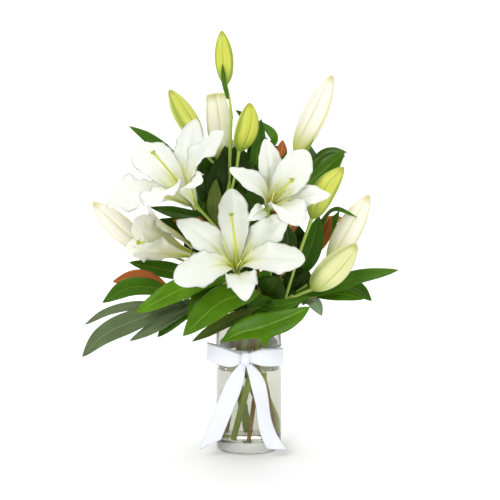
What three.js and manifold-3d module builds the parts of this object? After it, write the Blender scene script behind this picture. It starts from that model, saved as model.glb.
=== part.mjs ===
// White lilies with mixed foliage in a glass cylinder vase, tied with a satin ribbon.
// Millimetres, +Z up. The origin is the centre of the vase's underside, -Y is the front.

import * as THREE from 'three';
import { mergeVertices } from 'three/addons/utils/BufferGeometryUtils.js';
import Module from 'manifold-3d';

const wasm = await Module();
wasm.setup();

// ---------------------------------------------------------------- driving dimensions

const VASE_RADIUS = 50;
const VASE_HEIGHT = 200;
const VASE_WALL = 3;
const VASE_BASE = 15;
const WATER_LEVEL = 125;
const FIT_GAP = 0.3;

const RIBBON_WIDTH = 26;
const RIBBON_THICKNESS = 1.2;
const RIBBON_HEIGHT = 153;
const KNOT_WIDTH = 14;
const KNOT_DEPTH = 13;
const KNOT_HEIGHT = 20;
const KNOT_CENTRE = [-5, -59.5, 152];

const STEM_FOOT_RADIUS = 36;
const STEM_WAIST_RADIUS = 18;
const STEM_WAIST_HEIGHT = 165;
const LILY_STEM_RADIUS = 4.2;
const WOODY_STEM_RADIUS = 3;
const STALK_RADIUS = 2.1;

const TEPAL_THICKNESS = 1.6;
const INNER_TEPAL_HALF_WIDTH = 28;
const OUTER_TEPAL_HALF_WIDTH = 22;
const FILAMENT_RADIUS = 0.9;
const FILAMENT_LENGTH = 80;
const STYLE_RADIUS = 1.7;
const LEAF_THICKNESS = 1.2;

const ROUND_SIDES = 40;
const STEM_SIDES = 8;

// ---------------------------------------------------------------- materials

const COLOURS = {
  glass: ['#dfe8e6', 0.05],
  water: ['#d6e4dc', 0.05],
  ribbon: ['#f2f4fa', 0.45],
  stem: ['#7f9a3a', 0.5],
  wood: ['#6b5138', 0.8],
  tepal: ['#f6f6ef', 0.5],
  pistil: ['#b9c83c', 0.45],
  bud: ['#cfe07a', 0.5],
  leaf: ['#3f7d1e', 0.4],
};

function material(name) {
  const [color, roughness] = COLOURS[name];
  return new THREE.MeshStandardMaterial({ name, color, roughness, metalness: 0 });
}

const bouquet = new THREE.Group();

function add(name, geometry, finish, parent = bouquet) {
  const mesh = new THREE.Mesh(geometry, material(finish));
  mesh.name = name;
  parent.add(mesh);
  return mesh;
}

// ---------------------------------------------------------------- solids

const vector = ([x, y, z]) => new THREE.Vector3(x, y, z);

function toManifold(geometry) {
  const bare = geometry.clone();
  bare.deleteAttribute('normal');
  bare.deleteAttribute('uv');
  const merged = mergeVertices(bare, 1e-3);
  return new wasm.Manifold(new wasm.Mesh({
    numProp: 3,
    vertProperties: new Float32Array(merged.attributes.position.array),
    triVerts: new Uint32Array(merged.index.array),
  }));
}

function toGeometry(solid) {
  const mesh = solid.getMesh();
  const geometry = new THREE.BufferGeometry();
  geometry.setAttribute('position', new THREE.BufferAttribute(mesh.vertProperties, 3));
  geometry.setIndex(new THREE.BufferAttribute(mesh.triVerts, 1));
  return geometry;
}

function union(geometries) {
  return toGeometry(geometries.map(toManifold).reduce((whole, next) => whole.add(next)));
}

function without(geometry, cutters) {
  return toGeometry(cutters.map(toManifold).reduce((whole, cut) => whole.subtract(cut), toManifold(geometry)));
}

// A closed skin over rings of equal count, laid around each station from tail to point.
// outline(t) is the ring's section, anticlockwise, in the station's side and up directions.
function loft(stations, outline, endsInPoint) {
  const positions = [];
  const index = [];
  const sections = stations.map((station) => outline(station.t));
  const count = sections[0].length;
  const ringStations = endsInPoint ? stations.slice(0, -1) : stations;
  ringStations.forEach((station, k) => {
    for (const [u, v] of sections[k]) {
      const p = station.point.clone().addScaledVector(station.side, u).addScaledVector(station.up, v);
      positions.push(p.x, p.y, p.z);
    }
  });
  for (let k = 0; k + 1 < ringStations.length; k++) {
    for (let i = 0; i < count; i++) {
      const a = k * count + i;
      const b = k * count + (i + 1) % count;
      // Both faces of a thin blade split the same way, so a twisted blade keeps its thickness.
      if (i < count / 2) index.push(a, b, b + count, a, b + count, a + count);
      else index.push(a, b, a + count, b, b + count, a + count);
    }
  }
  const capTriangles = (section) => THREE.ShapeUtils.triangulateShape(
    section.map(([u, v]) => new THREE.Vector2(u, v)), []);
  for (const [a, b, c] of capTriangles(sections[0])) index.push(c, b, a);
  const last = (ringStations.length - 1) * count;
  if (endsInPoint) {
    const end = stations[stations.length - 1].point;
    positions.push(end.x, end.y, end.z);
    for (let i = 0; i < count; i++) index.push(last + i, last + (i + 1) % count, last + count);
  } else {
    for (const [a, b, c] of capTriangles(sections[ringStations.length - 1])) {
      index.push(last + a, last + b, last + c);
    }
  }
  const geometry = new THREE.BufferGeometry();
  geometry.setAttribute('position', new THREE.Float32BufferAttribute(positions, 3));
  geometry.setIndex(index);
  return geometry;
}

// Stations along a smooth curve, each with the direction its upper face looks in.
function stationsAlong(points, fractions, upAtStart, upAtEnd = upAtStart) {
  const curve = new THREE.CatmullRomCurve3(points.map(vector), false, 'centripetal');
  return fractions.map((t) => {
    const tangent = curve.getTangentAt(t);
    const up = vector(upAtStart).lerp(vector(upAtEnd), t);
    up.addScaledVector(tangent, -up.dot(tangent)).normalize();
    return { t, point: curve.getPointAt(t), up, side: up.clone().cross(tangent) };
  });
}

// Reads a profile, a list of [fraction, value] pairs, at one fraction.
function profileAt(profile, t) {
  const next = profile.findIndex(([fraction]) => fraction >= t);
  if (next <= 0) return profile[0][1];
  const [t0, v0] = profile[next - 1];
  const [t1, v1] = profile[next];
  return v0 + (v1 - v0) * (t - t0) / (t1 - t0);
}

const round = (radius, sides) => Array.from({ length: sides }, (_, i) => {
  const angle = 2 * Math.PI * i / sides;
  return [radius * Math.cos(angle), radius * Math.sin(angle)];
});

// A stalk or bud: round sections whose radius follows a profile, ending in a point.
function spindle(points, profile, sides = STEM_SIDES) {
  const fractions = profile.map(([t]) => t);
  const stations = stationsAlong(points, fractions, [0.31, 0.87, 0.38]);
  return loft(stations, (t) => round(profileAt(profile, t), sides), true);
}

function lathe(profile, sides) {
  return new THREE.LatheGeometry(profile.map(([r, z]) => new THREE.Vector2(r, z)), sides).rotateX(Math.PI / 2);
}

// A stem along a smooth curve, cut flat at both ends and thinner at its top.
function stem(points, radius, steps, topRadius = radius) {
  const fractions = Array.from({ length: steps + 1 }, (_, i) => i / steps);
  const thickness = [[0, radius], [0.3, radius], [1, topRadius]];
  return loft(stationsAlong(points, fractions, [0.31, 0.87, 0.38]), (t) => round(profileAt(thickness, t), STEM_SIDES), false);
}

// ---------------------------------------------------------------- vase, water and stems

function vaseGeometry() {
  const inner = VASE_RADIUS - VASE_WALL;
  const profile = [
    [0, 0], [VASE_RADIUS - 2, 0], [VASE_RADIUS, 2], [VASE_RADIUS, VASE_HEIGHT],
    [inner, VASE_HEIGHT], [inner, VASE_BASE + 5], [inner - 5, VASE_BASE], [0, VASE_BASE],
  ];
  return lathe(profile, ROUND_SIDES);
}

// The stems cross at a waist just inside the mouth, as in a spiralled hand-tied bunch:
// each stands on the floor opposite the way it leans, so no two meet.
const STEMS = [
  ['lily_stem_right', -18, [[30, -29, 212], [54, -30, 230]]],
  ['woody_stem_right', 18, [[50, -4, 262], [62, 22, 330], [66, 38, 374]]],
  ['lily_stem_back_right', 54, [[32, 4, 260], [37, 10, 326]]],
  ['woody_stem_back', 90, [[12, 30, 290], [6, 38, 388]]],
  ['lily_stem_centre', 126, [[-10, 12, 250], [-34, 6, 325], [-30, 11, 410], [-26, 9, 508]]],
  ['woody_stem_back_left', 162, [[-45, 40, 262], [-70, 46, 300]]],
  ['lily_stem_left', 198, [[-40, 18, 236], [-62, 18, 264]]],
  ['woody_stem_left', 234, [[-32, -8, 230]]],
  ['lily_stem_front', 270, [[-12, -18, 240]]],
  ['woody_stem_front', 306, [[-8, -38, 205]]],
];

const onCircle = (radius, degrees, z) => {
  const angle = THREE.MathUtils.degToRad(degrees);
  return [radius * Math.cos(angle), radius * Math.sin(angle), z];
};

function stemPath([, lean, upper]) {
  const foot = onCircle(STEM_FOOT_RADIUS, lean - 180, VASE_BASE + 2.5);
  const waist = onCircle(STEM_WAIST_RADIUS, lean - 90, STEM_WAIST_HEIGHT);
  const rise = (VASE_HEIGHT - STEM_WAIST_HEIGHT) / (STEM_WAIST_HEIGHT - foot[2]);
  const mouth = waist.map((value, axis) => value + rise * (value - foot[axis]));
  return [foot, waist, mouth, ...upper];
}

const isWoody = (name) => name.startsWith('woody');
const stemRadius = (name) => (isWoody(name) ? WOODY_STEM_RADIUS : LILY_STEM_RADIUS);

function addStems() {
  for (const entry of STEMS) {
    const [name] = entry;
    const path = stemPath(entry);
    const radius = stemRadius(name);
    const topRadius = radius * (isWoody(name) ? 0.9 : 0.65);
    add(name, stem(path, radius, path.length + 5, topRadius), isWoody(name) ? 'wood' : 'stem');
  }
}

function waterGeometry() {
  const radius = VASE_RADIUS - VASE_WALL - FIT_GAP;
  const floor = VASE_BASE + FIT_GAP;
  const profile = [
    [0, floor], [radius - 5, floor], [radius, floor + 5], [radius, WATER_LEVEL], [0, WATER_LEVEL],
  ];
  const holes = STEMS.map((entry) => {
    const [foot, waist] = stemPath(entry);
    const below = foot.map((value, axis) => value - 0.1 * (waist[axis] - value));
    return stem([below, waist], stemRadius(entry[0]) / Math.cos(Math.PI / STEM_SIDES) + FIT_GAP, 1);
  });
  return without(lathe(profile, ROUND_SIDES), holes);
}

// ---------------------------------------------------------------- ribbon

function ring(outer, inner, height) {
  const shape = new THREE.Shape(outer);
  shape.holes.push(new THREE.Path(inner));
  return new THREE.ExtrudeGeometry(shape, { depth: height, bevelEnabled: false });
}

function circlePoints(radius) {
  return round(radius, ROUND_SIDES).map(([x, y]) => new THREE.Vector2(x, y));
}

const LOOP_SAMPLES = 24;

// One loop of the bow: its plan runs anticlockwise out along the glass and back, it stands a
// ribbon width high, and it tilts up from the knot by so many degrees.
function bowLoop(plan, tilt) {
  const centreLine = new THREE.CatmullRomCurve3(plan.map(([x, y]) => new THREE.Vector3(x, y, 0)), true);
  const outer = [];
  const inner = [];
  for (const t of Array.from({ length: LOOP_SAMPLES }, (_, i) => i / LOOP_SAMPLES)) {
    const p = centreLine.getPointAt(t);
    const tangent = centreLine.getTangentAt(t);
    const normal = new THREE.Vector2(tangent.y, -tangent.x).multiplyScalar(RIBBON_THICKNESS / 2);
    outer.push(new THREE.Vector2(p.x + normal.x, p.y + normal.y));
    inner.push(new THREE.Vector2(p.x - normal.x, p.y - normal.y));
  }
  const [knotX] = KNOT_CENTRE;
  const loop = ring(outer, inner, RIBBON_WIDTH).translate(-knotX, 0, -RIBBON_WIDTH / 2);
  return loop.rotateY(THREE.MathUtils.degToRad(tilt)).translate(knotX, 0, RIBBON_HEIGHT);
}

const LEFT_LOOP = [
  [-12, -60], [-28, -59], [-44, -55], [-58, -50], [-63, -50], [-61, -54], [-48, -62], [-28, -67], [-15, -66], [-5, -62],
];
const RIGHT_LOOP = [
  [-4, -62], [4, -66], [16, -67], [36, -62], [50, -52], [53, -46], [48, -48], [36, -55], [18, -60], [6, -60],
];
const LEFT_LOOP_TILT = 7;

function ribbonTail(points, ups) {
  const fractions = [0, 0.08, 0.18, 0.32, 0.5, 0.7, 0.86, 1];
  const widths = [[0, 4], [0.08, 6.5], [0.18, 10], [0.32, RIBBON_WIDTH / 2], [1, RIBBON_WIDTH / 2]];
  const stations = stationsAlong(points, fractions, ...ups);
  const half = RIBBON_THICKNESS / 2;
  return loft(stations, (t) => {
    const w = profileAt(widths, t);
    return [[-w, -half], [w, -half], [w, half], [-w, half]];
  }, false);
}

function addRibbon() {
  const bandRadius = VASE_RADIUS + FIT_GAP;
  const band = ring(circlePoints(bandRadius + RIBBON_THICKNESS), circlePoints(bandRadius), RIBBON_WIDTH);
  add('ribbon_band', band.translate(0, 0, RIBBON_HEIGHT - RIBBON_WIDTH / 2), 'ribbon');
  const knot = new THREE.SphereGeometry(0.5, 10, 7).scale(KNOT_WIDTH, KNOT_DEPTH, KNOT_HEIGHT).translate(...KNOT_CENTRE);
  add('ribbon_bow', union([bowLoop(LEFT_LOOP, LEFT_LOOP_TILT), bowLoop(RIGHT_LOOP, 0), knot]), 'ribbon');
  add('ribbon_tail_left', ribbonTail(
    [[-9, -64, 138], [-29, -70, 95], [-50, -72, 42], [-62, -72, 9]], [[0.05, -1, 0.1], [-0.2, -1, 0]]), 'ribbon');
  add('ribbon_tail_right', ribbonTail(
    [[1, -64, 138], [13, -69, 118], [20, -70, 88], [25, -71, 54], [35, -71, 26], [48, -70, 8]],
    [[0.45, -0.9, 0.1], [0.75, -0.75, 0]]), 'ribbon');
}

// ---------------------------------------------------------------- lilies

const INNER_WIDTHS = [[0, 0.15], [0.13, 0.25], [0.3, 0.55], [0.48, 0.88], [0.63, 1], [0.79, 0.9], [0.92, 0.56], [1, 0]];
const OUTER_WIDTHS = [[0, 0.19], [0.13, 0.3], [0.3, 0.56], [0.48, 0.88], [0.63, 1], [0.79, 0.8], [0.92, 0.42], [1, 0]];
const COLLAR_BORE = 3.1;

// One tepal in the flower's own frame, opening away from its axis (local Z).
// azimuth and opening are degrees, length is base to tip, curl turns the tip back and
// breadth widens or narrows it.
function tepal([azimuth, opening, length, curl, breadth], whorl) {
  const lean = THREE.MathUtils.degToRad(opening);
  const end = THREE.MathUtils.degToRad(opening + curl);
  const tip = new THREE.Vector2(length * Math.sin(lean), length * Math.cos(lean));
  const curve = new THREE.CubicBezierCurve(
    new THREE.Vector2(whorl.radius, whorl.height),
    new THREE.Vector2(whorl.radius + whorl.flare * length, whorl.height + 0.38 * length),
    new THREE.Vector2(tip.x - 0.34 * length * Math.sin(end), tip.y - 0.34 * length * Math.cos(end)),
    tip);
  const turn = THREE.MathUtils.degToRad(azimuth);
  const outward = new THREE.Vector3(Math.cos(turn), Math.sin(turn), 0);
  const axis = new THREE.Vector3(0, 0, 1);
  const lift = (flat) => outward.clone().multiplyScalar(flat.x).addScaledVector(axis, flat.y);
  const stations = whorl.widths.map(([t]) => {
    const tangent = lift(curve.getTangentAt(t));
    const flat = curve.getPointAt(t);
    const side = new THREE.Vector3().crossVectors(axis, outward);
    const up = new THREE.Vector3().crossVectors(tangent, side);
    return { t, point: lift(flat), up, side, reach: flat.x };
  });
  return loft(stations, (t) => {
    const { reach } = stations.find((station) => station.t === t);
    const w = breadth * whorl.halfWidth * profileAt(whorl.widths, t);
    const cup = Math.min(w * w / (2 * reach), 0.4 * w) + 0.06 * w;
    const half = TEPAL_THICKNESS / 2;
    return [
      [-w, cup], [-w / 2, cup / 4 - half], [0, -half], [w / 2, cup / 4 - half],
      [w, cup], [w / 2, cup / 4 + half], [0, half], [-w / 2, cup / 4 + half],
    ];
  }, true);
}

function collar(inner, outer, bottom, top) {
  return lathe([[inner, bottom], [outer, bottom], [outer, top], [inner, top], [inner, bottom]], 12);
}

const OUTER_WHORL = {
  radius: 7.4, height: 1.4, flare: 0.2, halfWidth: OUTER_TEPAL_HALF_WIDTH, widths: OUTER_WIDTHS,
};
const INNER_WHORL = {
  radius: 5, height: 4.6, flare: 0.06, halfWidth: INNER_TEPAL_HALF_WIDTH, widths: INNER_WIDTHS,
};

function filament(azimuth, spread) {
  const turn = THREE.MathUtils.degToRad(azimuth);
  const at = (reach, z) => [reach * Math.cos(turn), reach * Math.sin(turn), z];
  const path = [at(3.5, 7), at(4 + 0.3 * spread, 0.45 * FILAMENT_LENGTH), at(spread, FILAMENT_LENGTH)];
  return spindle(path, [[0, 0.7], [0.35, 0.8], [0.75, FILAMENT_RADIUS], [0.96, 0.7], [1, 0]], 5);
}

// Ovary, then the thin style, then the swollen stigma.
const STYLE_PROFILE = [
  [0, 2.5], [0.1, 2.5], [0.28, 2.3], [0.38, STYLE_RADIUS], [0.62, STYLE_RADIUS], [0.9, STYLE_RADIUS],
  [0.94, 3.6], [0.99, 3.4], [1, 0],
];

// Each filament stands in front of its own tepal.
function lily({ name, base, axis, outer, inner, filamentSpread, style, stalk }) {
  const flower = new THREE.Group();
  flower.position.copy(vector(base));
  flower.quaternion.setFromUnitVectors(new THREE.Vector3(0, 0, 1), vector(axis).normalize());
  bouquet.add(flower);

  add(`${name}_outer_tepals`,
    union([collar(COLLAR_BORE, 8.6, 0.3, 3), ...outer.map((row) => tepal(row, OUTER_WHORL))]), 'tepal', flower);
  add(`${name}_inner_tepals`,
    union([collar(COLLAR_BORE, 6, 3.4, 6), ...inner.map((row) => tepal(row, INNER_WHORL))]), 'tepal', flower);

  add(`${name}_stamens`, union([
    collar(COLLAR_BORE, 3.9, 6.4, 8.2),
    ...[...outer, ...inner].map(([azimuth]) => filament(azimuth, filamentSpread)),
  ]), 'pistil', flower);

  const stylePath = [[0, 0, -1], [0, 0, 14], [0, 0, 30], ...style];
  const pistil = spindle(stylePath, STYLE_PROFILE);
  const receptacle = new THREE.CylinderGeometry(7.6, 3.4, 4, 12).rotateX(Math.PI / 2).translate(0, 0, -2);
  const toFlower = flower.quaternion.clone().invert();
  const local = (point) => vector(point).sub(flower.position).applyQuaternion(toFlower).toArray();
  const stalkPath = [[0, 0, -2], ...stalk.map(local)];
  const pedicel = spindle(stalkPath, [0, 0.33, 0.66, 0.96].map((t) => [t, STALK_RADIUS]).concat([[1, 0]]));
  add(`${name}_pistil`, union([receptacle, pistil, pedicel]), 'pistil', flower);
}

const LILIES = [
  {
    name: 'lily_upper_left',
    base: [-82, -10, 377],
    axis: [-0.47, -0.47, 0.75],
    inner: [[8, 51, 128, 38, 0.98], [117, 47, 130, 30, 1.05], [250, 46, 128, 44, 1.05]],
    outer: [[56, 52, 130, 25, 1.1], [183, 57, 132, 64, 1.5], [300, 50, 124, 45, 1]],
    filamentSpread: 24,
    style: [[-2, 2, 70], [-6, 5, 111]],
    stalk: [[-66, -7, 361], [-44, 1, 334]],
  },
  {
    name: 'lily_right',
    base: [28, -20, 372],
    axis: [0.31, -0.81, 0.49],
    inner: [[178, 48, 116, 32, 0.7], [72, 38, 112, 35, 0.9], [293, 36, 112, 52, 0.95]],
    outer: [[123, 44, 114, 26, 0.92], [8, 41, 108, 42, 0.88], [236, 47, 110, 30, 0.8]],
    filamentSpread: 19,
    style: [[0, 0, 65], [2, 2, 104]],
    stalk: [[31, -6, 352], [35, 4, 334]],
  },
  {
    name: 'lily_front',
    base: [-18, -35, 280],
    axis: [0, -0.78, 0.63],
    inner: [[94, 54, 122, 14, 0.9], [212, 58, 124, 34, 0.98], [348, 56, 124, 28, 0.92]],
    outer: [[153, 54, 122, 38, 1.12], [279, 53, 112, 84, 1.05], [36, 54, 118, 20, 1.1]],
    filamentSpread: 28,
    style: [[-2, 14, 66], [-8, 44, 90]],
    stalk: [[-14, -23, 262], [-12, -19, 245]],
  },
  {
    name: 'lily_left',
    base: [-87, 15, 298],
    axis: [-0.9, -0.22, 0.36],
    inner: [[75, 22, 104, 22, 0.74], [195, 21, 104, 18, 0.74], [315, 22, 102, 28, 0.74]],
    outer: [[15, 29, 106, 30, 0.76], [135, 28, 104, 22, 0.76], [255, 28, 104, 22, 0.76]],
    filamentSpread: 13,
    style: [[-3, 0, 55], [-12, 0, 84]],
    stalk: [[-76, 17, 284], [-66, 17, 269]],
  },
];

// ---------------------------------------------------------------- buds

// A bud and its stalk: the stalk's points, then the bud's base and tip, then its radius.
const BUD_SHAPE = [[0, 0.3], [0.07, 0.62], [0.22, 0.9], [0.42, 1], [0.62, 0.9], [0.8, 0.62], [0.93, 0.3], [1, 0]];

function bud(stalk, base, bulge, tip, radius) {
  const points = [...stalk, base, bulge, tip].map(vector);
  const lengths = points.slice(1).map((point, i) => point.distanceTo(points[i]));
  const total = lengths.reduce((sum, length) => sum + length);
  const budShare = (lengths.at(-1) + lengths.at(-2)) / total;
  const stalkShare = 1 - budShare;
  const profile = [
    ...[0, 0.35, 0.7, 0.97].map((share) => [share * stalkShare, STALK_RADIUS]),
    ...BUD_SHAPE.map(([t, size]) => [stalkShare + t * budShare, size * radius]),
  ];
  return spindle(points.map((point) => point.toArray()), profile);
}

const BUDS = {
  bud_top: [[[-26, 9, 512], [-29, 9, 536]], [-34, 10, 556], [-36, 8, 597], [-40, 5, 636], 13.5],
  bud_upper_left: [[[-37, 12, 424], [-62, 22, 446]], [-72, 34, 468], [-98, 34, 506], [-120, 28, 547], 16],
  bud_open_tipped: [[[-36, 18, 396], [-42, 32, 420]], [-46, 38, 439], [-47, 40, 493], [-51, 38, 541], 18],
  bud_centre: [[[-24, 4, 404], [-18, -8, 432]], [-14, -10, 458], [-3, -13, 493], [2, -15, 530], 16.5],
  bud_tall_right: [[[40, 15, 332], [56, 32, 400]], [72, 35, 452], [102, 34, 507], [127, 30, 569], 18.5],
  bud_green_right: [[[56, -25, 238], [76, -22, 302]], [95, -20, 358], [112, -27, 398], [141, -35, 436], 17],
  bud_far_right: [[[62, -16, 236], [98, 2, 259]], [123, 0, 283], [153, -2, 337], [182, -5, 391], 19.5],
  bud_low_right: [[[60, -33, 236], [78, -42, 246]], [95, -45, 254], [125, -52, 286], [160, -60, 324], 21],
  bud_far_left: [[[-68, 26, 272], [-122, 56, 288]], [-161, 68, 295], [-200, 58, 333], [-240, 42, 374], 18],
  bud_behind: [[[-4, 44, 396]], [-14, 50, 420], [-20, 53, 444], [-26, 52, 470], 12],
};

function addBuds() {
  for (const [name, row] of Object.entries(BUDS)) add(name, bud(...row), 'bud');
}

// ---------------------------------------------------------------- leaves

const LEAF_FORMS = {
  lance: [[0, 0.14], [0.12, 0.5], [0.32, 0.9], [0.55, 1], [0.78, 0.7], [0.92, 0.34], [1, 0]],
  broad: [[0, 0.12], [0.12, 0.55], [0.32, 0.97], [0.55, 1], [0.78, 0.68], [0.92, 0.32], [1, 0]],
  strap: [[0, 0.5], [0.12, 0.75], [0.32, 0.98], [0.55, 1], [0.78, 0.72], [0.92, 0.36], [1, 0]],
};

// One leaf: the points of its midrib from base to tip, half its width, the way its
// upper face looks (at the base and at the tip), its outline and how far it folds.
function leaf({ rib, half, up, upTip = up, form = 'lance', fold = 0.25 }) {
  const stations = stationsAlong(rib, LEAF_FORMS[form].map(([t]) => t), up, upTip);
  return loft(stations, (t) => {
    const w = half * profileAt(LEAF_FORMS[form], t);
    const edge = fold * w + LEAF_THICKNESS;
    return [[-w, edge], [0, -LEAF_THICKNESS / 2], [w, edge], [0, LEAF_THICKNESS / 2]];
  }, true);
}

// Single leaves, each lying against the stem it grows from.
const LEAVES = {
  leaf_pale_strap: {
    rib: [[-32, -28, 270], [-74, -50, 264], [-168, -72, 223]], half: 15, up: [0.1, -0.75, 0.66], form: 'strap',
  },
  leaf_bright_broad: {
    rib: [[16, -44, 250], [-39, -78, 241], [-96, -105, 195]], half: 23, up: [-0.1, -0.75, 0.66], form: 'broad',
  },
  leaf_shaded_broad: {
    rib: [[-24, -32, 252], [-62, -54, 247], [-91, -68, 202]], half: 17, up: [-0.5, -0.8, 0.35], form: 'broad',
  },
  leaf_olive_tip: {
    rib: [[14, -38, 225], [-34, -57, 205], [-84, -81, 182]], half: 11, up: [0, -0.7, 0.7],
  },
  leaf_long_right: {
    rib: [[72, -22, 238], [133, -18, 256], [166, -15, 266], [228, -10, 277]], half: 13, up: [-0.1, -0.8, 0.6], form: 'strap',
  },
  leaf_dark_left: {
    rib: [[-68, 14, 259], [-129, 25, 271], [-184, 25, 283]], half: 14, up: [0, -0.8, 0.6],
  },
};

// Compound leaves: the lobes grow together at their bases.
const LOBED_LEAVES = {
  leaf_lobed_front: [
    { rib: [[-10, -50, 204], [34, -80, 211], [90, -92, 236]], half: 22, up: [0, -0.75, 0.66], form: 'broad' },
    { rib: [[-10, -50, 204], [-25, -68, 192], [-41, -80, 179]], half: 9, up: [0, -0.8, 0.6] },
    { rib: [[-8, -52, 204], [12, -76, 190], [21, -96, 169]], half: 9, up: [0, -0.8, 0.6] },
  ],
  leaf_divided_left: [
    { rib: [[-36, -12, 234], [-96, -21, 227], [-156, -29, 215]], half: 6, up: [0, -0.8, 0.6] },
    { rib: [[-118, -24, 223], [-170, -31, 220], [-212, -36, 212], [-247, -40, 197]], half: 9, up: [0, -0.8, 0.6] },
    {
      rib: [[-98, -23, 227], [-160, -38, 213], [-218, -50, 191], [-249, -58, 153]],
      half: 20,
      up: [0, -0.9, 0.4],
      form: 'broad',
    },
    { rib: [[-76, -19, 229], [-124, -34, 208], [-179, -48, 179]], half: 9, up: [0, -0.9, 0.4] },
    { rib: [[-54, -16, 231], [-104, -26, 209], [-138, -34, 178]], half: 11, up: [0, -0.9, 0.4] },
  ],
};

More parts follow.
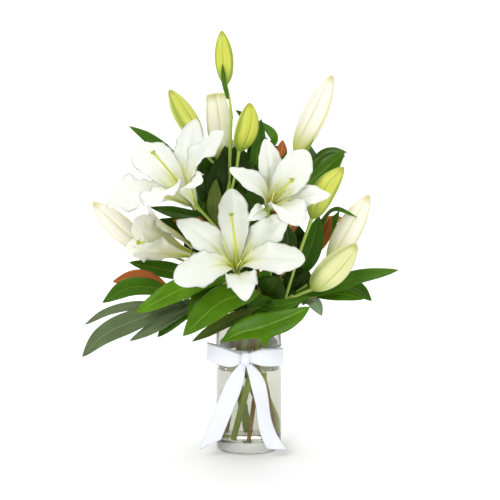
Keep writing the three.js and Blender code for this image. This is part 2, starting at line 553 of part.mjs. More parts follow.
// A sprig: a twig and the leaves along it. Each leaf's rib starts on the twig, at the
// fraction of its length given by "at".
const SPRIGS = {
  sprig_left: {
    twig: [[-35, 3, 236], [-84, 0, 240], [-124, 2, 245]],
    leaves: [
      { at: 0.95, rib: [[-180, -12, 250], [-221, -24, 229]], half: 15, up: [0, -0.8, 0.6], form: 'broad' },
      { at: 0.93, rib: [[-167, 8, 262], [-208, 6, 256]], half: 13, up: [0, 1, -0.2] },
      { at: 0.45, rib: [[-108, -30, 244], [-154, -44, 219]], half: 12, up: [0, -0.75, 0.66] },
      { at: 0.6, rib: [[-118, 44, 262], [-166, 84, 258]], half: 15, up: [-0.2, 0.5, 0.8] },
    ],
  },
  sprig_right_low: {
    twig: [[62, -8, 224], [98, -4, 234], [126, 2, 240]],
    leaves: [
      { at: 0.95, rib: [[157, 10, 247], [189, 8, 226]], half: 14, up: [0.3, -0.8, 0.5] },
      { at: 0.6, rib: [[138, -14, 240], [177, -16, 234]], half: 11, up: [0, -0.8, 0.6] },
      { at: 0.3, rib: [[98, -40, 234], [109, -60, 216]], half: 12, up: [-0.2, 0.8, -0.5], form: 'broad' },
      { at: 0.5, rib: [[130, 46, 238], [164, 92, 214]], half: 16, up: [0.2, 0.5, 0.8], form: 'broad' },
    ],
  },
  sprig_right: {
    twig: [[70, 18, 252], [86, 20, 276], [98, 22, 300]],
    leaves: [
      { at: 0.2, rib: [[95, 4, 312], [107, 2, 358]], half: 17, up: [0.1, -1, 0.1], form: 'broad' },
      { at: 0.75, rib: [[114, 24, 318], [126, 18, 355]], half: 8, up: [0, 1, 0.1] },
      { at: 0.9, rib: [[122, 34, 332], [139, 30, 362]], half: 9, up: [0.2, -1, 0.2] },
      { at: 0.85, rib: [[118, 60, 330], [148, 90, 344]], half: 16, up: [0.4, 0.8, 0.3], form: 'broad' },
      { at: 0.6, rib: [[111, 8, 344], [130, -10, 369], [163, -32, 360]], half: 6, up: [-0.3, -0.6, 0.7] },
    ],
  },
  sprig_upper_right: {
    twig: [[68, 40, 378], [80, 46, 400], [94, 50, 420]],
    leaves: [
      { at: 0.2, rib: [[110, 40, 420], [146, 34, 453]], half: 18, up: [-0.3, -0.8, 0.5], form: 'broad' },
      { at: 0.9, rib: [[125, 58, 436], [149, 52, 444]], half: 8, up: [-0.2, -0.9, 0.4] },
      { at: 0.7, rib: [[92, 76, 450], [98, 96, 492]], half: 16, up: [0.2, 0.9, 0.3], form: 'broad' },
      { at: 0.4, rib: [[112, 78, 388], [142, 104, 400]], half: 17, up: [0.3, 0.7, 0.6], form: 'broad' },
    ],
  },
  sprig_top: {
    twig: [[4, 46, 392], [12, 38, 430], [20, 32, 460]],
    leaves: [
      { at: 0.3, rib: [[14, 8, 457], [19, 0, 505]], half: 12, up: [0.2, -1, 0.1] },
      { at: 0.9, rib: [[36, 20, 476], [14, 10, 501]], half: 8, up: [0.6, -0.8, 0.2] },
      { at: 0.7, rib: [[45, 26, 445], [50, 20, 467]], half: 9, up: [0, 1, 0.2] },
      { at: 0.8, rib: [[6, 44, 492], [-20, 38, 516]], half: 9, up: [-0.2, -1, 0.3] },
      { at: 0.5, rib: [[24, 70, 462], [30, 92, 500]], half: 15, up: [0, 0.9, 0.4], form: 'broad' },
      { at: 0.1, rib: [[-8, 33, 413], [-14, 28, 450]], half: 13, up: [0.1, -1, 0.1], form: 'broad' },
    ],
  },
  sprig_centre: {
    twig: [[-44, 18, 300], [-50, 18, 340], [-50, 16, 384]],
    leaves: [
      { at: 0.6, rib: [[-98, 14, 358], [-150, 18, 369]], half: 11, up: [0, -0.7, 0.7] },
      { at: 0.9, rib: [[-56, 4, 404], [-59, 4, 436]], half: 11, up: [-0.3, 1, 0] },
      { at: 0.3, rib: [[-62, 4, 330], [-76, 2, 358]], half: 9, up: [0, 1, 0.2] },
    ],
  },
  sprig_inner: {
    twig: [[11, 5, 232], [18, 4, 258], [30, -2, 284]],
    leaves: [
      { at: 0.3, rib: [[22, -18, 262], [28, -28, 284]], half: 13, up: [0, -1, 0.1], form: 'broad' },
      { at: 0.9, rib: [[58, -8, 312], [56, -14, 350]], half: 15, up: [0, 1, 0.1], form: 'broad' },
      { at: 0.95, rib: [[12, -2, 320], [4, 2, 356]], half: 13, up: [0, -1, 0.1] },
    ],
  },
  sprig_back_left: {
    twig: [[-73, 49, 304], [-86, 52, 366], [-96, 44, 420]],
    leaves: [
      { at: 0.95, rib: [[-136, 42, 459], [-182, 30, 492]], half: 11, up: [0, -0.8, 0.6] },
      { at: 0.2, rib: [[-130, 84, 330], [-172, 110, 318]], half: 17, up: [-0.3, 0.6, 0.7], form: 'broad' },
      { at: 0.5, rib: [[-92, 94, 390], [-104, 128, 410]], half: 18, up: [0, 0.8, 0.6], form: 'broad' },
      { at: 0.8, rib: [[-132, 74, 410], [-176, 88, 420]], half: 15, up: [-0.3, 0.6, 0.7] },
      { at: 0.7, rib: [[-60, 72, 430], [-40, 90, 474]], half: 16, up: [0, 0.9, 0.4], form: 'broad' },
    ],
  },
  sprig_back_right: {
    twig: [[44, 22, 262], [52, 60, 300], [50, 78, 350]],
    leaves: [
      { at: 0.3, rib: [[84, 92, 300], [112, 124, 286]], half: 18, up: [0.3, 0.6, 0.7], form: 'broad' },
      { at: 0.6, rib: [[70, 104, 350], [80, 134, 372]], half: 18, up: [0.2, 0.8, 0.6], form: 'broad' },
      { at: 0.95, rib: [[30, 98, 396], [14, 108, 440]], half: 16, up: [-0.1, 0.95, 0.3], form: 'broad' },
      { at: 0.5, rib: [[10, 98, 326], [-18, 126, 340]], half: 18, up: [-0.2, 0.8, 0.6], form: 'broad' },
    ],
  },
  sprig_back_low: {
    twig: [[-20, 38, 212], [-22, 56, 244], [-30, 70, 284]],
    leaves: [
      { at: 0.2, rib: [[-64, 84, 230], [-104, 110, 206]], half: 20, up: [-0.2, 0.5, 0.8], form: 'broad' },
      { at: 0.3, rib: [[8, 92, 236], [20, 126, 206]], half: 20, up: [0, 0.6, 0.8], form: 'broad' },
      { at: 0.15, rib: [[34, 74, 224], [78, 96, 196]], half: 16, up: [0.2, 0.5, 0.8] },
      { at: 0.6, rib: [[-70, 106, 280], [-96, 134, 270]], half: 18, up: [-0.2, 0.6, 0.7], form: 'broad' },
      { at: 0.9, rib: [[-50, 100, 318], [-62, 124, 352]], half: 17, up: [-0.1, 0.9, 0.4], form: 'broad' },
    ],
  },
};

const TWIG_PROFILE = [[0, 2], [0.3, 2], [0.65, 1.7], [0.96, 1.4], [1, 0]];

function sprig({ twig, leaves }) {
  const curve = new THREE.CatmullRomCurve3(twig.map(vector), false, 'centripetal');
  const grown = leaves.map((row) => leaf({ ...row, rib: [curve.getPointAt(row.at).toArray(), ...row.rib] }));
  return union([spindle(twig, TWIG_PROFILE), ...grown]);
}

function addLeaves() {
  for (const [name, row] of Object.entries(LEAVES)) add(name, leaf(row), 'leaf');
  for (const [name, rows] of Object.entries(LOBED_LEAVES)) add(name, union(rows.map(leaf)), 'leaf');
  for (const [name, row] of Object.entries(SPRIGS)) add(name, sprig(row), 'leaf');
}

// ---------------------------------------------------------------- assembly

add('vase', vaseGeometry(), 'glass');
add('water', waterGeometry(), 'water');
addStems();
addRibbon();
LILIES.forEach(lily);
addBuds();
addLeaves();

export default bouquet;
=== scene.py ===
import math
import random
from bisect import bisect_right

import bmesh
import bpy
from bpy.props import FloatProperty, FloatVectorProperty, IntProperty, PointerProperty
from mathutils import Matrix, Vector, geometry, noise


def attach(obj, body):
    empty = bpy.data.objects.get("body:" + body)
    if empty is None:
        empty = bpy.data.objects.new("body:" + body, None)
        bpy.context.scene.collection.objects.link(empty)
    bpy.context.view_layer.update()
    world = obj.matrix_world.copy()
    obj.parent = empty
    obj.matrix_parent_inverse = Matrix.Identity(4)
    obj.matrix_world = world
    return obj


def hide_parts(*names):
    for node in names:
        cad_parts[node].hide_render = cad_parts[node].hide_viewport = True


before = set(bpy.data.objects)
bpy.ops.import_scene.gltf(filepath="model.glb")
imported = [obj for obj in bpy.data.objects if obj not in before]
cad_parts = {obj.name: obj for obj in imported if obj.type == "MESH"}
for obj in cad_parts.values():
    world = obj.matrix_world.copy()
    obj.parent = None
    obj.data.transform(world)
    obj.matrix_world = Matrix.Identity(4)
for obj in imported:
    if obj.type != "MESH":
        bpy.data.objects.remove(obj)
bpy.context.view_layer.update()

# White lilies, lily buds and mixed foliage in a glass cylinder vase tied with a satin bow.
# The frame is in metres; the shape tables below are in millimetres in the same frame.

bl_info = {
    "name": "Lilies in a vase",
    "version": (1, 0, 0),
    "blender": (4, 5, 0),
    "location": "View3D > Sidebar > Bouquet",
    "description": "White lilies with mixed foliage in a glass cylinder vase tied with a satin ribbon",
    "category": "Add Mesh",
}

MM = 0.001
UP = Vector((0, 0, 1))


# ---------------------------------------------------------------- colours and settings

def linear(code):
    """An sRGB hex colour as linear red, green, blue and an alpha of 1."""
    parts = [int(code[i : i + 2], 16) / 255 for i in (1, 3, 5)]
    return (*(c / 12.92 if c <= 0.04045 else ((c + 0.055) / 1.055) ** 2.4 for c in parts), 1.0)


def colour(name, description, code):
    return FloatVectorProperty(
        name=name, description=description, subtype="COLOR", size=4, min=0, max=1, default=linear(code)
    )


def length(name, description, millimetres):
    return FloatProperty(name=name, description=description, default=millimetres * MM, min=0, unit="LENGTH")


class VaseSettings(bpy.types.PropertyGroup):
    glass: colour("Glass", "Body colour of the clear soda-lime glass", "#dcdcd4")
    water: colour("Water", "Colour of the fresh water", "#f7fbf6")
    heel: length("Heel radius", "Rounding of the vase's outer bottom edge", 3.5)
    rim: length("Rim radius", "Fire-polished rounding of the mouth", 1.3)
    steps: IntProperty(name="Steps round", description="Faces round the glass", default=128, min=32, max=256)


class RibbonSettings(bpy.types.PropertyGroup):
    satin: colour("Satin", "Colour of the white satin", "#f3f5fc")
    width: length("Width", "Width of the ribbon", 26)
    cloth: length("Thickness", "Thickness of the ribbon", 0.5)


class LilySettings(bpy.types.PropertyGroup):
    petal: colour("Petal", "White of the tepals", "#edefe5")
    throat: colour("Throat", "Yellow-green at the heart of the flower", "#c3d13a")
    nectary: colour("Nectary", "Green furrow at the base of each tepal", "#7f9a25")
    stigma: colour("Stigma", "Green of the style and stigma", "#a9b93f")
    thickness: length("Tepal thickness", "Thickness of a tepal along its midrib", 1.1)
    groove: length("Midrib groove", "Depth of the groove along a tepal", 1.3)


class BudSettings(bpy.types.PropertyGroup):
    cream: colour("Cream bud", "Skin of a bud about to open", "#faf5ea")
    seam: length("Seam depth", "Depth of the seams between the tepals of a bud", 1.3)


class LeafSettings(bpy.types.PropertyGroup):
    thickness: length("Leaf thickness", "Thickness of a leaf beside its midrib", 0.7)
    rib: length("Midrib height", "How far a midrib stands out under a leaf", 0.6)


class StemSettings(bpy.types.PropertyGroup):
    green: colour("Green stem", "Skin of the lily stems", "#9cbc42")
    bark: colour("Bark", "Bark of the woody stems", "#a8884a")


class StageSettings(bpy.types.PropertyGroup):
    floor: colour("Floor", "Pale floor and backdrop", "#ffffff")
    distance: length("Camera distance", "From the camera to the middle of the vase", 2300)
    lens: FloatProperty(name="Lens", description="Focal length in millimetres", default=110.4, min=10)


# ---------------------------------------------------------------- smooth lines

class Line:
    """A dense line of points, read by the fraction of its length."""

    def __init__(self, points):
        self.points = points
        self.marks = [0.0]
        for a, b in zip(points, points[1:]):
            self.marks.append(self.marks[-1] + (b - a).length)
        self.total = self.marks[-1]

    def __call__(self, t):
        goal = min(max(t, 0.0), 1.0) * self.total
        high = bisect_right(self.marks, goal, 1, len(self.marks) - 1)
        low = high - 1
        share = (goal - self.marks[low]) / max(self.marks[high] - self.marks[low], 1e-9)
        point = self.points[low].lerp(self.points[high], share)
        behind = self.points[max(low - 1, 0)]
        ahead = self.points[min(high + 1, len(self.points) - 1)]
        return point, (ahead - behind).normalized()


def hermite(s, start, leave, end, arrive):
    """The cubic from start to end, at s from 0 to 1, with its slopes where it leaves and arrives."""
    return (
        start * (2 * s**3 - 3 * s**2 + 1) + leave * (s**3 - 2 * s**2 + s)
        + end * (3 * s**2 - 2 * s**3) + arrive * (s**3 - s**2)
    )


def smooth_line(points, steps=16):
    """A smooth line through points, without loops between uneven ones."""
    inner = [Vector(p) for p in points]
    points = [2 * inner[0] - inner[1], *inner, 2 * inner[-1] - inner[-2]]
    dense = []
    for i in range(1, len(points) - 2):
        a, b, c, d = points[i - 1 : i + 3]
        ab, bc, cd = ((q - p).length ** 0.5 for p, q in ((a, b), (b, c), (c, d)))
        leave = ((b - a) / ab - (c - a) / (ab + bc) + (c - b) / bc) * bc
        arrive = ((c - b) / bc - (d - b) / (bc + cd) + (d - c) / cd) * bc
        dense += [hermite(k / steps, b, leave, c, arrive) for k in range(steps)]
    return Line([*dense, inner[-1]])


def profile(pairs):
    """A smooth curve through (fraction, value) pairs, as a function of the fraction."""
    slopes = []
    for i in range(len(pairs)):
        t0, v0 = pairs[max(i - 1, 0)]
        t1, v1 = pairs[min(i + 1, len(pairs) - 1)]
        slopes.append((v1 - v0) / (t1 - t0))

    def read(t):
        for (t0, v0), (t1, v1), m0, m1 in zip(pairs, pairs[1:], slopes, slopes[1:]):
            if t <= t1:
                break
        h = t1 - t0
        return hermite(min(max((t - t0) / h, 0), 1), v0, m0 * h, v1, m1 * h)

    return read


def ease(t, start, end):
    """0 before start, 1 after end, and smooth between."""
    s = min(max((t - start) / (end - start), 0), 1)
    return s * s * (3 - 2 * s)


def hump(x, width):
    """1 where x is 0, and next to nothing a few widths off."""
    return math.exp(-((x / width) ** 2))


def about_axis(degrees, radius=1.0, height=0.0):
    """The point at that bearing, radius and height round an upright axis."""
    angle = math.radians(degrees)
    return Vector((radius * math.cos(angle), radius * math.sin(angle), height))


def midrib(points, up, up_tip=None, twist=0.0):
    """For t from 0 at the base to 1 at the tip: the point, the way across and the way the face looks."""
    line = smooth_line(points)
    up, up_tip = Vector(up), Vector(up_tip or up)

    def at(t):
        point, along = line(t)
        face = up.lerp(up_tip, t)
        face = (face - face.dot(along) * along).normalized()
        if twist:
            face = Matrix.Rotation(math.radians(twist) * t, 3, along) @ face
        return point, along.cross(face), face

    return at


# ---------------------------------------------------------------- skins

def patch(bm, across, rows, place, tone, slots):
    """A grid wrapped into a skin: place(turn, t, row) gives each vertex's spot and its share across.

    turn runs from -1 to 1 round the skin, and t along it, row by row. tone is kept for the
    material, and the two slots are the materials of the skin's first and second half.
    """
    uv = bm.loops.layers.uv.verify()
    tint = bm.verts.layers.float.get("tone") or bm.verts.layers.float.new("tone")
    verts = bmesh.ops.create_grid(bm, x_segments=across, y_segments=len(rows) - 1, size=1)["verts"]
    faces = {face for vert in verts for face in vert.link_faces}
    for face in faces:
        face.smooth = True
        face.material_index = slots[0] if face.calc_center_median().x < 0 else slots[1]
    shares = {}
    for vert in verts:
        row = round((vert.co.y + 1) / 2 * (len(rows) - 1))
        spot, share = place(vert.co.x, rows[row], row)
        shares[vert] = (share, rows[row])
        vert.co = spot * MM
        vert[tint] = tone
    for face in faces:
        for loop in face.loops:
            loop[uv].uv = shares[loop.vert]
    bmesh.ops.remove_doubles(bm, verts=verts, dist=2e-6)


def blade(
    bm, at, half_width, lift, thickness, across=10, along=24, tone=0.5, slots=(0, 0), slant=0.0, edges=None
):
    """A thin closed blade: a leaf, a tepal or a length of ribbon.

    lift(a, t, w) raises the blade off its midrib at a, from -1 to 1 across, where it is w to a side.
    slant cuts the far end off at an angle, as a share of the blade's length. edges gives its two
    sides outlines of their own, as shares of the half width.
    """
    # A lobed edge needs twice the rows.
    along = 2 * along if edges else along
    rows = [k / along for k in range(along + 1)]

    def place(turn, t, row):
        top = turn <= 0
        a = 2 * turn + 1 if top else 1 - 2 * turn
        shear = t * (1 - abs(slant) * (1 - math.copysign(a, slant * a)) / 2) if slant else t
        point, side, up = at(shear)
        w = half_width(t) * (edges[a > 0](t) if edges else 1)
        closed = 0 if row in (0, along) or abs(a) > 0.999 else thickness(a, t)
        height = lift(a, t, w) + (0 if top else -1) * closed
        return point + side * (a * w) + up * height, 0.5 + a / 2

    patch(bm, 4 * across, rows, place, tone, slots)


def tube(bm, at, radius, sides=12, along=20, tone=0.5, slot=0, section=None, cut_start=True, cut_end=False):
    """A closed round skin, such as a stem, stalk or bud, with its ends cut flat where asked."""
    rows = [k / along for k in range(along + 1)]
    if cut_start:
        rows.insert(0, 0.0)
    if cut_end:
        rows.append(1.0)
    last = len(rows) - 1

    def place(turn, t, row):
        point, side, up = at(t)
        angle = -math.pi * (turn + 1)
        size = radius(t) * (section(angle, t) if section else 1)
        if (cut_start and row == 0) or (cut_end and row == last):
            size = 0
        return point + (side * math.cos(angle) + up * math.sin(angle)) * size, (turn + 1) / 2

    patch(bm, sides, rows, place, tone, (slot, slot))


def finish_piece(name, bm, materials, nodes, slot):
    """Makes the mesh an object that rides on the vase and stands for its CAD nodes."""
    mesh = bpy.data.meshes.new(name)
    bm.to_mesh(mesh)
    bm.free()
    for material in materials:
        mesh.materials.append(material)
    piece = bpy.data.objects.new(name, mesh)
    bpy.context.scene.collection.objects.link(piece)
    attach(piece, "root")
    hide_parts(*nodes)
    return piece


# ---------------------------------------------------------------- materials

def plug(socket, value):
    """Links a socket to another or sets its value, where a string is an sRGB hex colour."""
    if isinstance(value, bpy.types.NodeSocket):
        socket.id_data.links.new(value, socket)
    else:
        socket.default_value = linear(value) if isinstance(value, str) else value


def add_node(tree, kind, sockets=None, **settings):
    """Adds a node with its settings, its values and its links, and returns its outputs."""
    made = tree.nodes.new("ShaderNode" + kind)
    for key, value in settings.items():
        setattr(made, key, value)
    for socket, value in (sockets or {}).items():
        plug(made.inputs[socket], value)
    return made.outputs


def new_material(name, surface="BsdfPrincipled"):
    """An empty material: the function that adds a node to it, and the one that finishes its surface."""
    material = bpy.data.materials.new(name)
    material.use_nodes = True
    tree = material.node_tree
    tree.nodes.clear()
    output = tree.nodes.new("ShaderNodeOutputMaterial")
    shader = tree.nodes.new("ShaderNode" + surface)
    tree.links.new(shader.outputs[0], output.inputs["Surface"])

    def node(kind, sockets=None, **settings):
        return add_node(tree, kind, sockets, **settings)

    def finished(bump=None, **inputs):
        """Sets the surface's sockets, with underscores for spaces; bump is height, strength and depth."""
        if bump:
            inputs["Normal"] = node("Bump", dict(zip(("Height", "Strength", "Distance"), bump)))[0]
        for key, value in inputs.items():
            plug(shader.inputs[key.replace("_", " ")], value)
        return material

    return node, finished


def wash(node, base, over, amount, *places):
    """Lays a colour over the base by that amount, and only in the places given.

    A place is a pattern from 0 to 1, or a value, where it has its full effect and where it ends.
    """
    for place in places:
        if isinstance(place, tuple):
            value, full, end = place
            reach = {"Value": value, "From Min": end, "From Max": full}
            place = node("MapRange", reach, interpolation_type="SMOOTHSTEP")[0]
        amount = node("Math", {0: amount, 1: place}, operation="MULTIPLY")[0]
    return node("Mix", {"Factor": amount, 6: base, 7: over}, data_type="RGBA")[2]


def on_skin(node):
    """The share across a blade or round a tube, and the share along it from base to tip."""
    return node("SeparateXYZ", {0: node("TexCoord")["UV"]})[:2]


def on_blade(node):
    """The share along a blade from base to tip, and the distance from its midrib from 0 to 1."""
    across, along = on_skin(node)
    centred = node("Math", {0: across, 1: 2.0, 2: -1.0}, operation="MULTIPLY_ADD")[0]
    return along, node("Math", {0: centred}, operation="ABSOLUTE")[0]


def streaks(node, across, along, detail=3.0):
    """Noise drawn out along a skin, for veins and fibres: so many across it and so many along it."""
    spread = (across, along, 0.0)
    stretched = node("VectorMath", {0: node("TexCoord")["UV"], 1: spread}, operation="MULTIPLY")[0]
    return node("TexNoise", {"Vector": stretched, "Scale": 1.0, "Detail": detail})[0]


def blotches(node, per_metre, detail=2.0):
    """Soft noise that doesn't follow the skin, with about that many blotches to the metre."""
    return node("TexNoise", {"Vector": node("TexCoord")["Object"], "Scale": per_metre, "Detail": detail})[0]


def dimmed(shade, share):
    """A linear colour with its light cut down to that share."""
    return (*(share * c for c in shade[:3]), 1.0)


# The skins of a tepal: the glow of its heart, how far that reaches along and across, the strength
# of its green midrib and where that ends.
TEPAL_SKINS = {
    "lily_tepal_face": ("#e8ec96", 0.58, 1.1, 0.55, 0.6),
    "lily_tepal_back": ("#dde487", 0.85, 1.1, 0.85, 0.92),
    "young_tepal_face": ("#dfe47a", 0.68, 1.4, 0.55, 0.6),
    "young_tepal_back": ("#d2cb70", 0.95, 1.4, 0.85, 0.92),
}


def petal_material(name, settings, fresh):
    """Fresh lily tepal, grown: waxy white, faintly veined, a yellow-green throat and midrib.

    A young one, only just open, is still greener, most of all outside.
    """
    glow, reach, breadth, rib, rib_end = TEPAL_SKINS[name]
    node, finished = new_material(name)
    along, off = on_blade(node)
    # Papery veins two millimetres apart catch the light along the tepal.
    veins = streaks(node, 26.0, 1.2)
    skin = wash(node, fresh, "#d3d8c6", 0.10, veins)
    skin = wash(node, skin, glow, 1.0, (along, 0.04, reach), (off, 0.10, breadth))
    skin = wash(node, skin, settings.throat, 1.0, (along, 0.02, 0.30), (off, 0.02, 0.7))
    skin = wash(node, skin, "#c4cf62", rib, (off, 0.015, 0.11), (along, 0.25, rib_end))
    skin = wash(node, skin, settings.nectary, 0.9, (off, 0.03, 0.22), (along, 0.10, 0.26))
    # Painted shade: the thin margin is laid greyer, as it looks where light passes through it.
    skin = wash(node, skin, "#c9cdb8", 0.28, (off, 1.0, 0.86))
    return finished(
        Base_Color=skin, Roughness=0.42, IOR=1.4, Subsurface_Weight=0.35, Subsurface_Radius=(1.0, 0.9, 0.7),
        Subsurface_Scale=0.0035, Coat_Weight=0.06, Coat_Roughness=0.35, bump=(veins, 0.25, 0.0006),
    )


def leaf_material(name):
    """Fresh leaf blade, grown: coloured between its veins, a lighter midrib and margin."""
    face, vein, edge, roughness, pinnate, coat = LEAF_FINISHES[name]
    node, finished = new_material(name)
    along, off = on_blade(node)
    tone = node("Attribute", attribute_name="tone")["Fac"]
    cloud = blotches(node, 38.0, 4.0)
    # Light and dark leaves of one kind differ by their tone: partly their own green, partly painted shade
    # for leaves deep in the bunch.
    dark = wash(node, dimmed(linear(face), 0.38), face, tone)
    # Clouds 20 to 30 mm across mottle each leaf: partly blotches of its own, partly painted sheen and shade.
    skin = wash(node, dark, wash(node, face, vein, tone), 0.96, cloud)
    # Side veins leave the midrib at a slant, 4 to 8 mm apart. A blade without them, such as a
    # lily's, has parallel ones a millimetre apart.
    rise = node("Math", {0: along, 1: 2 * math.pi * pinnate}, operation="MULTIPLY")[0]
    spread = -4.4 * math.pi if pinnate else 34.0
    phase = node("Math", {0: off, 1: spread, 2: rise}, operation="MULTIPLY_ADD")[0]
    wave = node("Math", {0: phase}, operation="SINE")[0]
    crest = node("Math", {0: wave}, operation="ABSOLUTE")[0]
    ridge = node("Math", {0: crest, 1: 0.35}, operation="POWER")[0]
    veins = node("Math", {0: 1.0, 1: ridge}, operation="SUBTRACT")[0]
    skin = wash(node, skin, vein, 0.15, veins)
    skin = wash(node, skin, edge, 0.4, (off, 0.015, 0.06))
    skin = wash(node, skin, edge, 0.5, (off, 0.995, 0.93))
    swell = node("Math", {0: cloud, 1: 1.4}, operation="MULTIPLY")[0]
    relief = node("Math", {0: ridge, 1: 0.8, 2: swell}, operation="MULTIPLY_ADD")[0]
    return finished(
        Base_Color=skin, Roughness=roughness, Specular_IOR_Level=0.12, Subsurface_Weight=0.08,
        Subsurface_Radius=(0.4, 1.0, 0.2), Subsurface_Scale=0.002, Coat_Weight=0.6 * coat,
        Coat_Roughness=0.2, bump=(relief, 0.5, 0.0007),
    )


def felt_material(name):
    """Underside of a magnolia leaf, grown: a rust-brown felt, dull and a little furry."""
    node, finished = new_material(name)
    along, off = on_blade(node)
    rust = wash(node, "#7c4016", "#c46c26", blotches(node, 45.0))
    rust = wash(node, rust, "#c99a55", 0.7, (off, 0.02, 0.07))
    return finished(
        Base_Color=rust, Roughness=0.85, Sheen_Weight=0.25, Sheen_Roughness=0.5, Sheen_Tint="#e0a070",
        bump=(blotches(node, 900.0, 3.0), 0.35, 0.0004),
    )


def bud_material(settings):
    """Skin of a lily bud, grown: waxy, green ribs and seams on cream or green, paler with its tone."""
    node, finished = new_material("lily_bud_skin")
    turn, along = on_skin(node)
    tone = node("Attribute", attribute_name="tone")["Fac"]
    fibres = streaks(node, 46.0, 1.4)
    # 0 on a seam between two of the three tepals, and 0.5 on the rib down the middle of each.
    thirds = node("Math", {0: turn, 1: 3.0}, operation="MULTIPLY")[0]
    inward = node("Math", {0: thirds, 1: 0.5}, operation="PINGPONG")[0]
    young = wash(node, "#a6b824", "#ece868", fibres)
    young = wash(node, young, "#7f9a1c", 0.75, (inward, 0.48, 0.32))
    ripe = wash(node, settings.cream, "#f5f0de", fibres)
    ripe = wash(node, ripe, "#d6d674", 0.75, (inward, 0.49, 0.43))
    skin = wash(node, young, ripe, tone)
    # The foot, the tip and the seams, each in a young and a ripe colour.
    for young, ripe, amount, place in (
        ("#7c9c1e", "#c0c944", 0.85, (along, 0.0, 0.42)),
        ("#a39c3a", "#c8bf6a", 0.8, (along, 1.0, 0.86)),
        ("#879a1f", "#c8d26c", 0.55, (inward, 0.008, 0.05)),
    ):
        skin = wash(node, skin, wash(node, young, ripe, tone), amount, place)
    return finished(
        Base_Color=skin, Roughness=0.4, IOR=1.42, Subsurface_Weight=0.25, Subsurface_Radius=(1.0, 1.0, 0.5),
        Subsurface_Scale=0.003, Coat_Weight=0.1, Coat_Roughness=0.3, bump=(fibres, 0.3, 0.0006),
    )


def flesh_material(name, base, tip, roughness=0.4):
    """Filament, style or ovary, grown: smooth and juicy, changing colour along its length."""
    node, finished = new_material(name)
    turn, along = on_skin(node)
    speckle = blotches(node, 700.0)
    skin = wash(node, wash(node, base, tip, along), "#7f8f2a", 0.15, speckle)
    return finished(
        Base_Color=skin, Roughness=roughness, Subsurface_Weight=0.2, Subsurface_Radius=(1.0, 1.0, 0.4),
        Subsurface_Scale=0.002, bump=(speckle, 0.2, 0.0004),
    )


def stem_material(settings):
    """Lily stem, grown: smooth green skin with faint fibres along it."""
    node, finished = new_material("lily_stem_skin")
    fibres = streaks(node, 22.0, 3.0)
    skin = wash(node, "#93b634", "#d2e076", fibres)
    skin = wash(node, skin, settings.green, 0.5, blotches(node, 55.0))
    # Painted light: paler and yellower in the vase, where the glass and the leaves above would leave the
    # stems dim.
    height = node("SeparateXYZ", {0: node("TexCoord")["Object"]})[2]
    skin = wash(node, skin, "#d2ea42", 0.8, (height, 0.19, 0.235))
    return finished(
        Base_Color=skin, Roughness=0.42, Coat_Weight=0.1, Coat_Roughness=0.3, bump=(fibres, 0.3, 0.0006),
    )


def bark_material(settings):
    """Young bark, grown: brown and tan with short cracks along the stem, dull."""
    node, finished = new_material("shrub_bark")
    cracks = streaks(node, 9.0, 60.0, 5.0)
    skin = wash(node, wash(node, "#a2742a", "#f4cc6c", cracks), settings.bark, 0.3)
    return finished(Base_Color=skin, Roughness=0.8, bump=(cracks, 0.6, 0.0008))


def glass_material(name, settings, ior, clear=1.0):
    """Soda-lime glass, blown and fire-polished: clear, with a hair of unevenness in its surface."""
    node, finished = new_material(name)
    return finished(
        Base_Color=dimmed(settings.glass, clear), Roughness=0.0, IOR=ior, Transmission_Weight=1.0,
        bump=(blotches(node, 22.0, 1.0), 0.12, 0.0006),
    )


def water_material(settings):
    """Fresh water, still: clear, its surface a little uneven where it meets the stems."""
    node, finished = new_material("fresh_water")
    return finished(
        Base_Color=settings.water, Roughness=0.0, IOR=WATER_IOR, Transmission_Weight=1.0,
        bump=(blotches(node, 60.0, 1.0), 0.06, 0.0005),
    )


def wetted_material():
    """Fresh water against glass: the glass already bends the light there, so nothing shows."""
    node, finished = new_material("water_against_glass", "BsdfTransparent")
    return finished(Color="#ffffff")


def satin_material(settings):
    """Polyester satin, woven: floats of thread give a soft sheen across the ribbon."""
    node, finished = new_material("white_satin")
    along, off = on_blade(node)
    # Threads a millimetre or so apart stand for finer ones, so that they show.
    threads = node("Math", {0: along, 1: 1200.0}, operation="MULTIPLY")[0]
    floats = node("Math", {0: threads}, operation="SINE")[0]
    slubs = streaks(node, 60.0, 6.0)
    edge = {"Value": off, "From Min": 0.91, "From Max": 0.95}
    hem = node("MapRange", edge, interpolation_type="SMOOTHSTEP")[0]
    weave = node("Math", {0: hem, 1: 1.2, 2: slubs}, operation="MULTIPLY_ADD")[0]
    weave = node("Math", {0: floats, 1: 0.3, 2: weave}, operation="MULTIPLY_ADD")[0]
    cloth = wash(node, settings.satin, "#dfe4f2", 0.18, slubs)
    cloth = wash(node, cloth, "#e2e6f2", 0.35, hem)
    return finished(
        Base_Color=cloth, Roughness=0.42, Anisotropic=0.5, Sheen_Weight=0.3, Sheen_Roughness=0.4,
        Subsurface_Weight=0.1, Subsurface_Radius=(1.0, 1.0, 1.0), Subsurface_Scale=0.002,
        bump=(weave, 0.18, 0.0003),
    )


def floor_material(settings):
    """Matt painted board: pale, plain and dull."""
    node, finished = new_material("pale_floor_paint")
    paint = wash(node, settings.floor, "#f0f0f0", 0.02, blotches(node, 300.0))
    return finished(Base_Color=paint, Roughness=0.8, Specular_IOR_Level=0.2)


def shared_material(name, make, *args):
    """The material of that name, made the first time it is asked for."""
    return bpy.data.materials.get(name) or make(*args)


# ---------------------------------------------------------------- vase and water

VASE_RADIUS, VASE_HEIGHT, VASE_WALL, VASE_FOOT = 50, 200, 3, 15
VASE_INSIDE = VASE_RADIUS - VASE_WALL
WATER_LEVEL = 125
GLASS_IOR, WATER_IOR = 1.5, 1.333

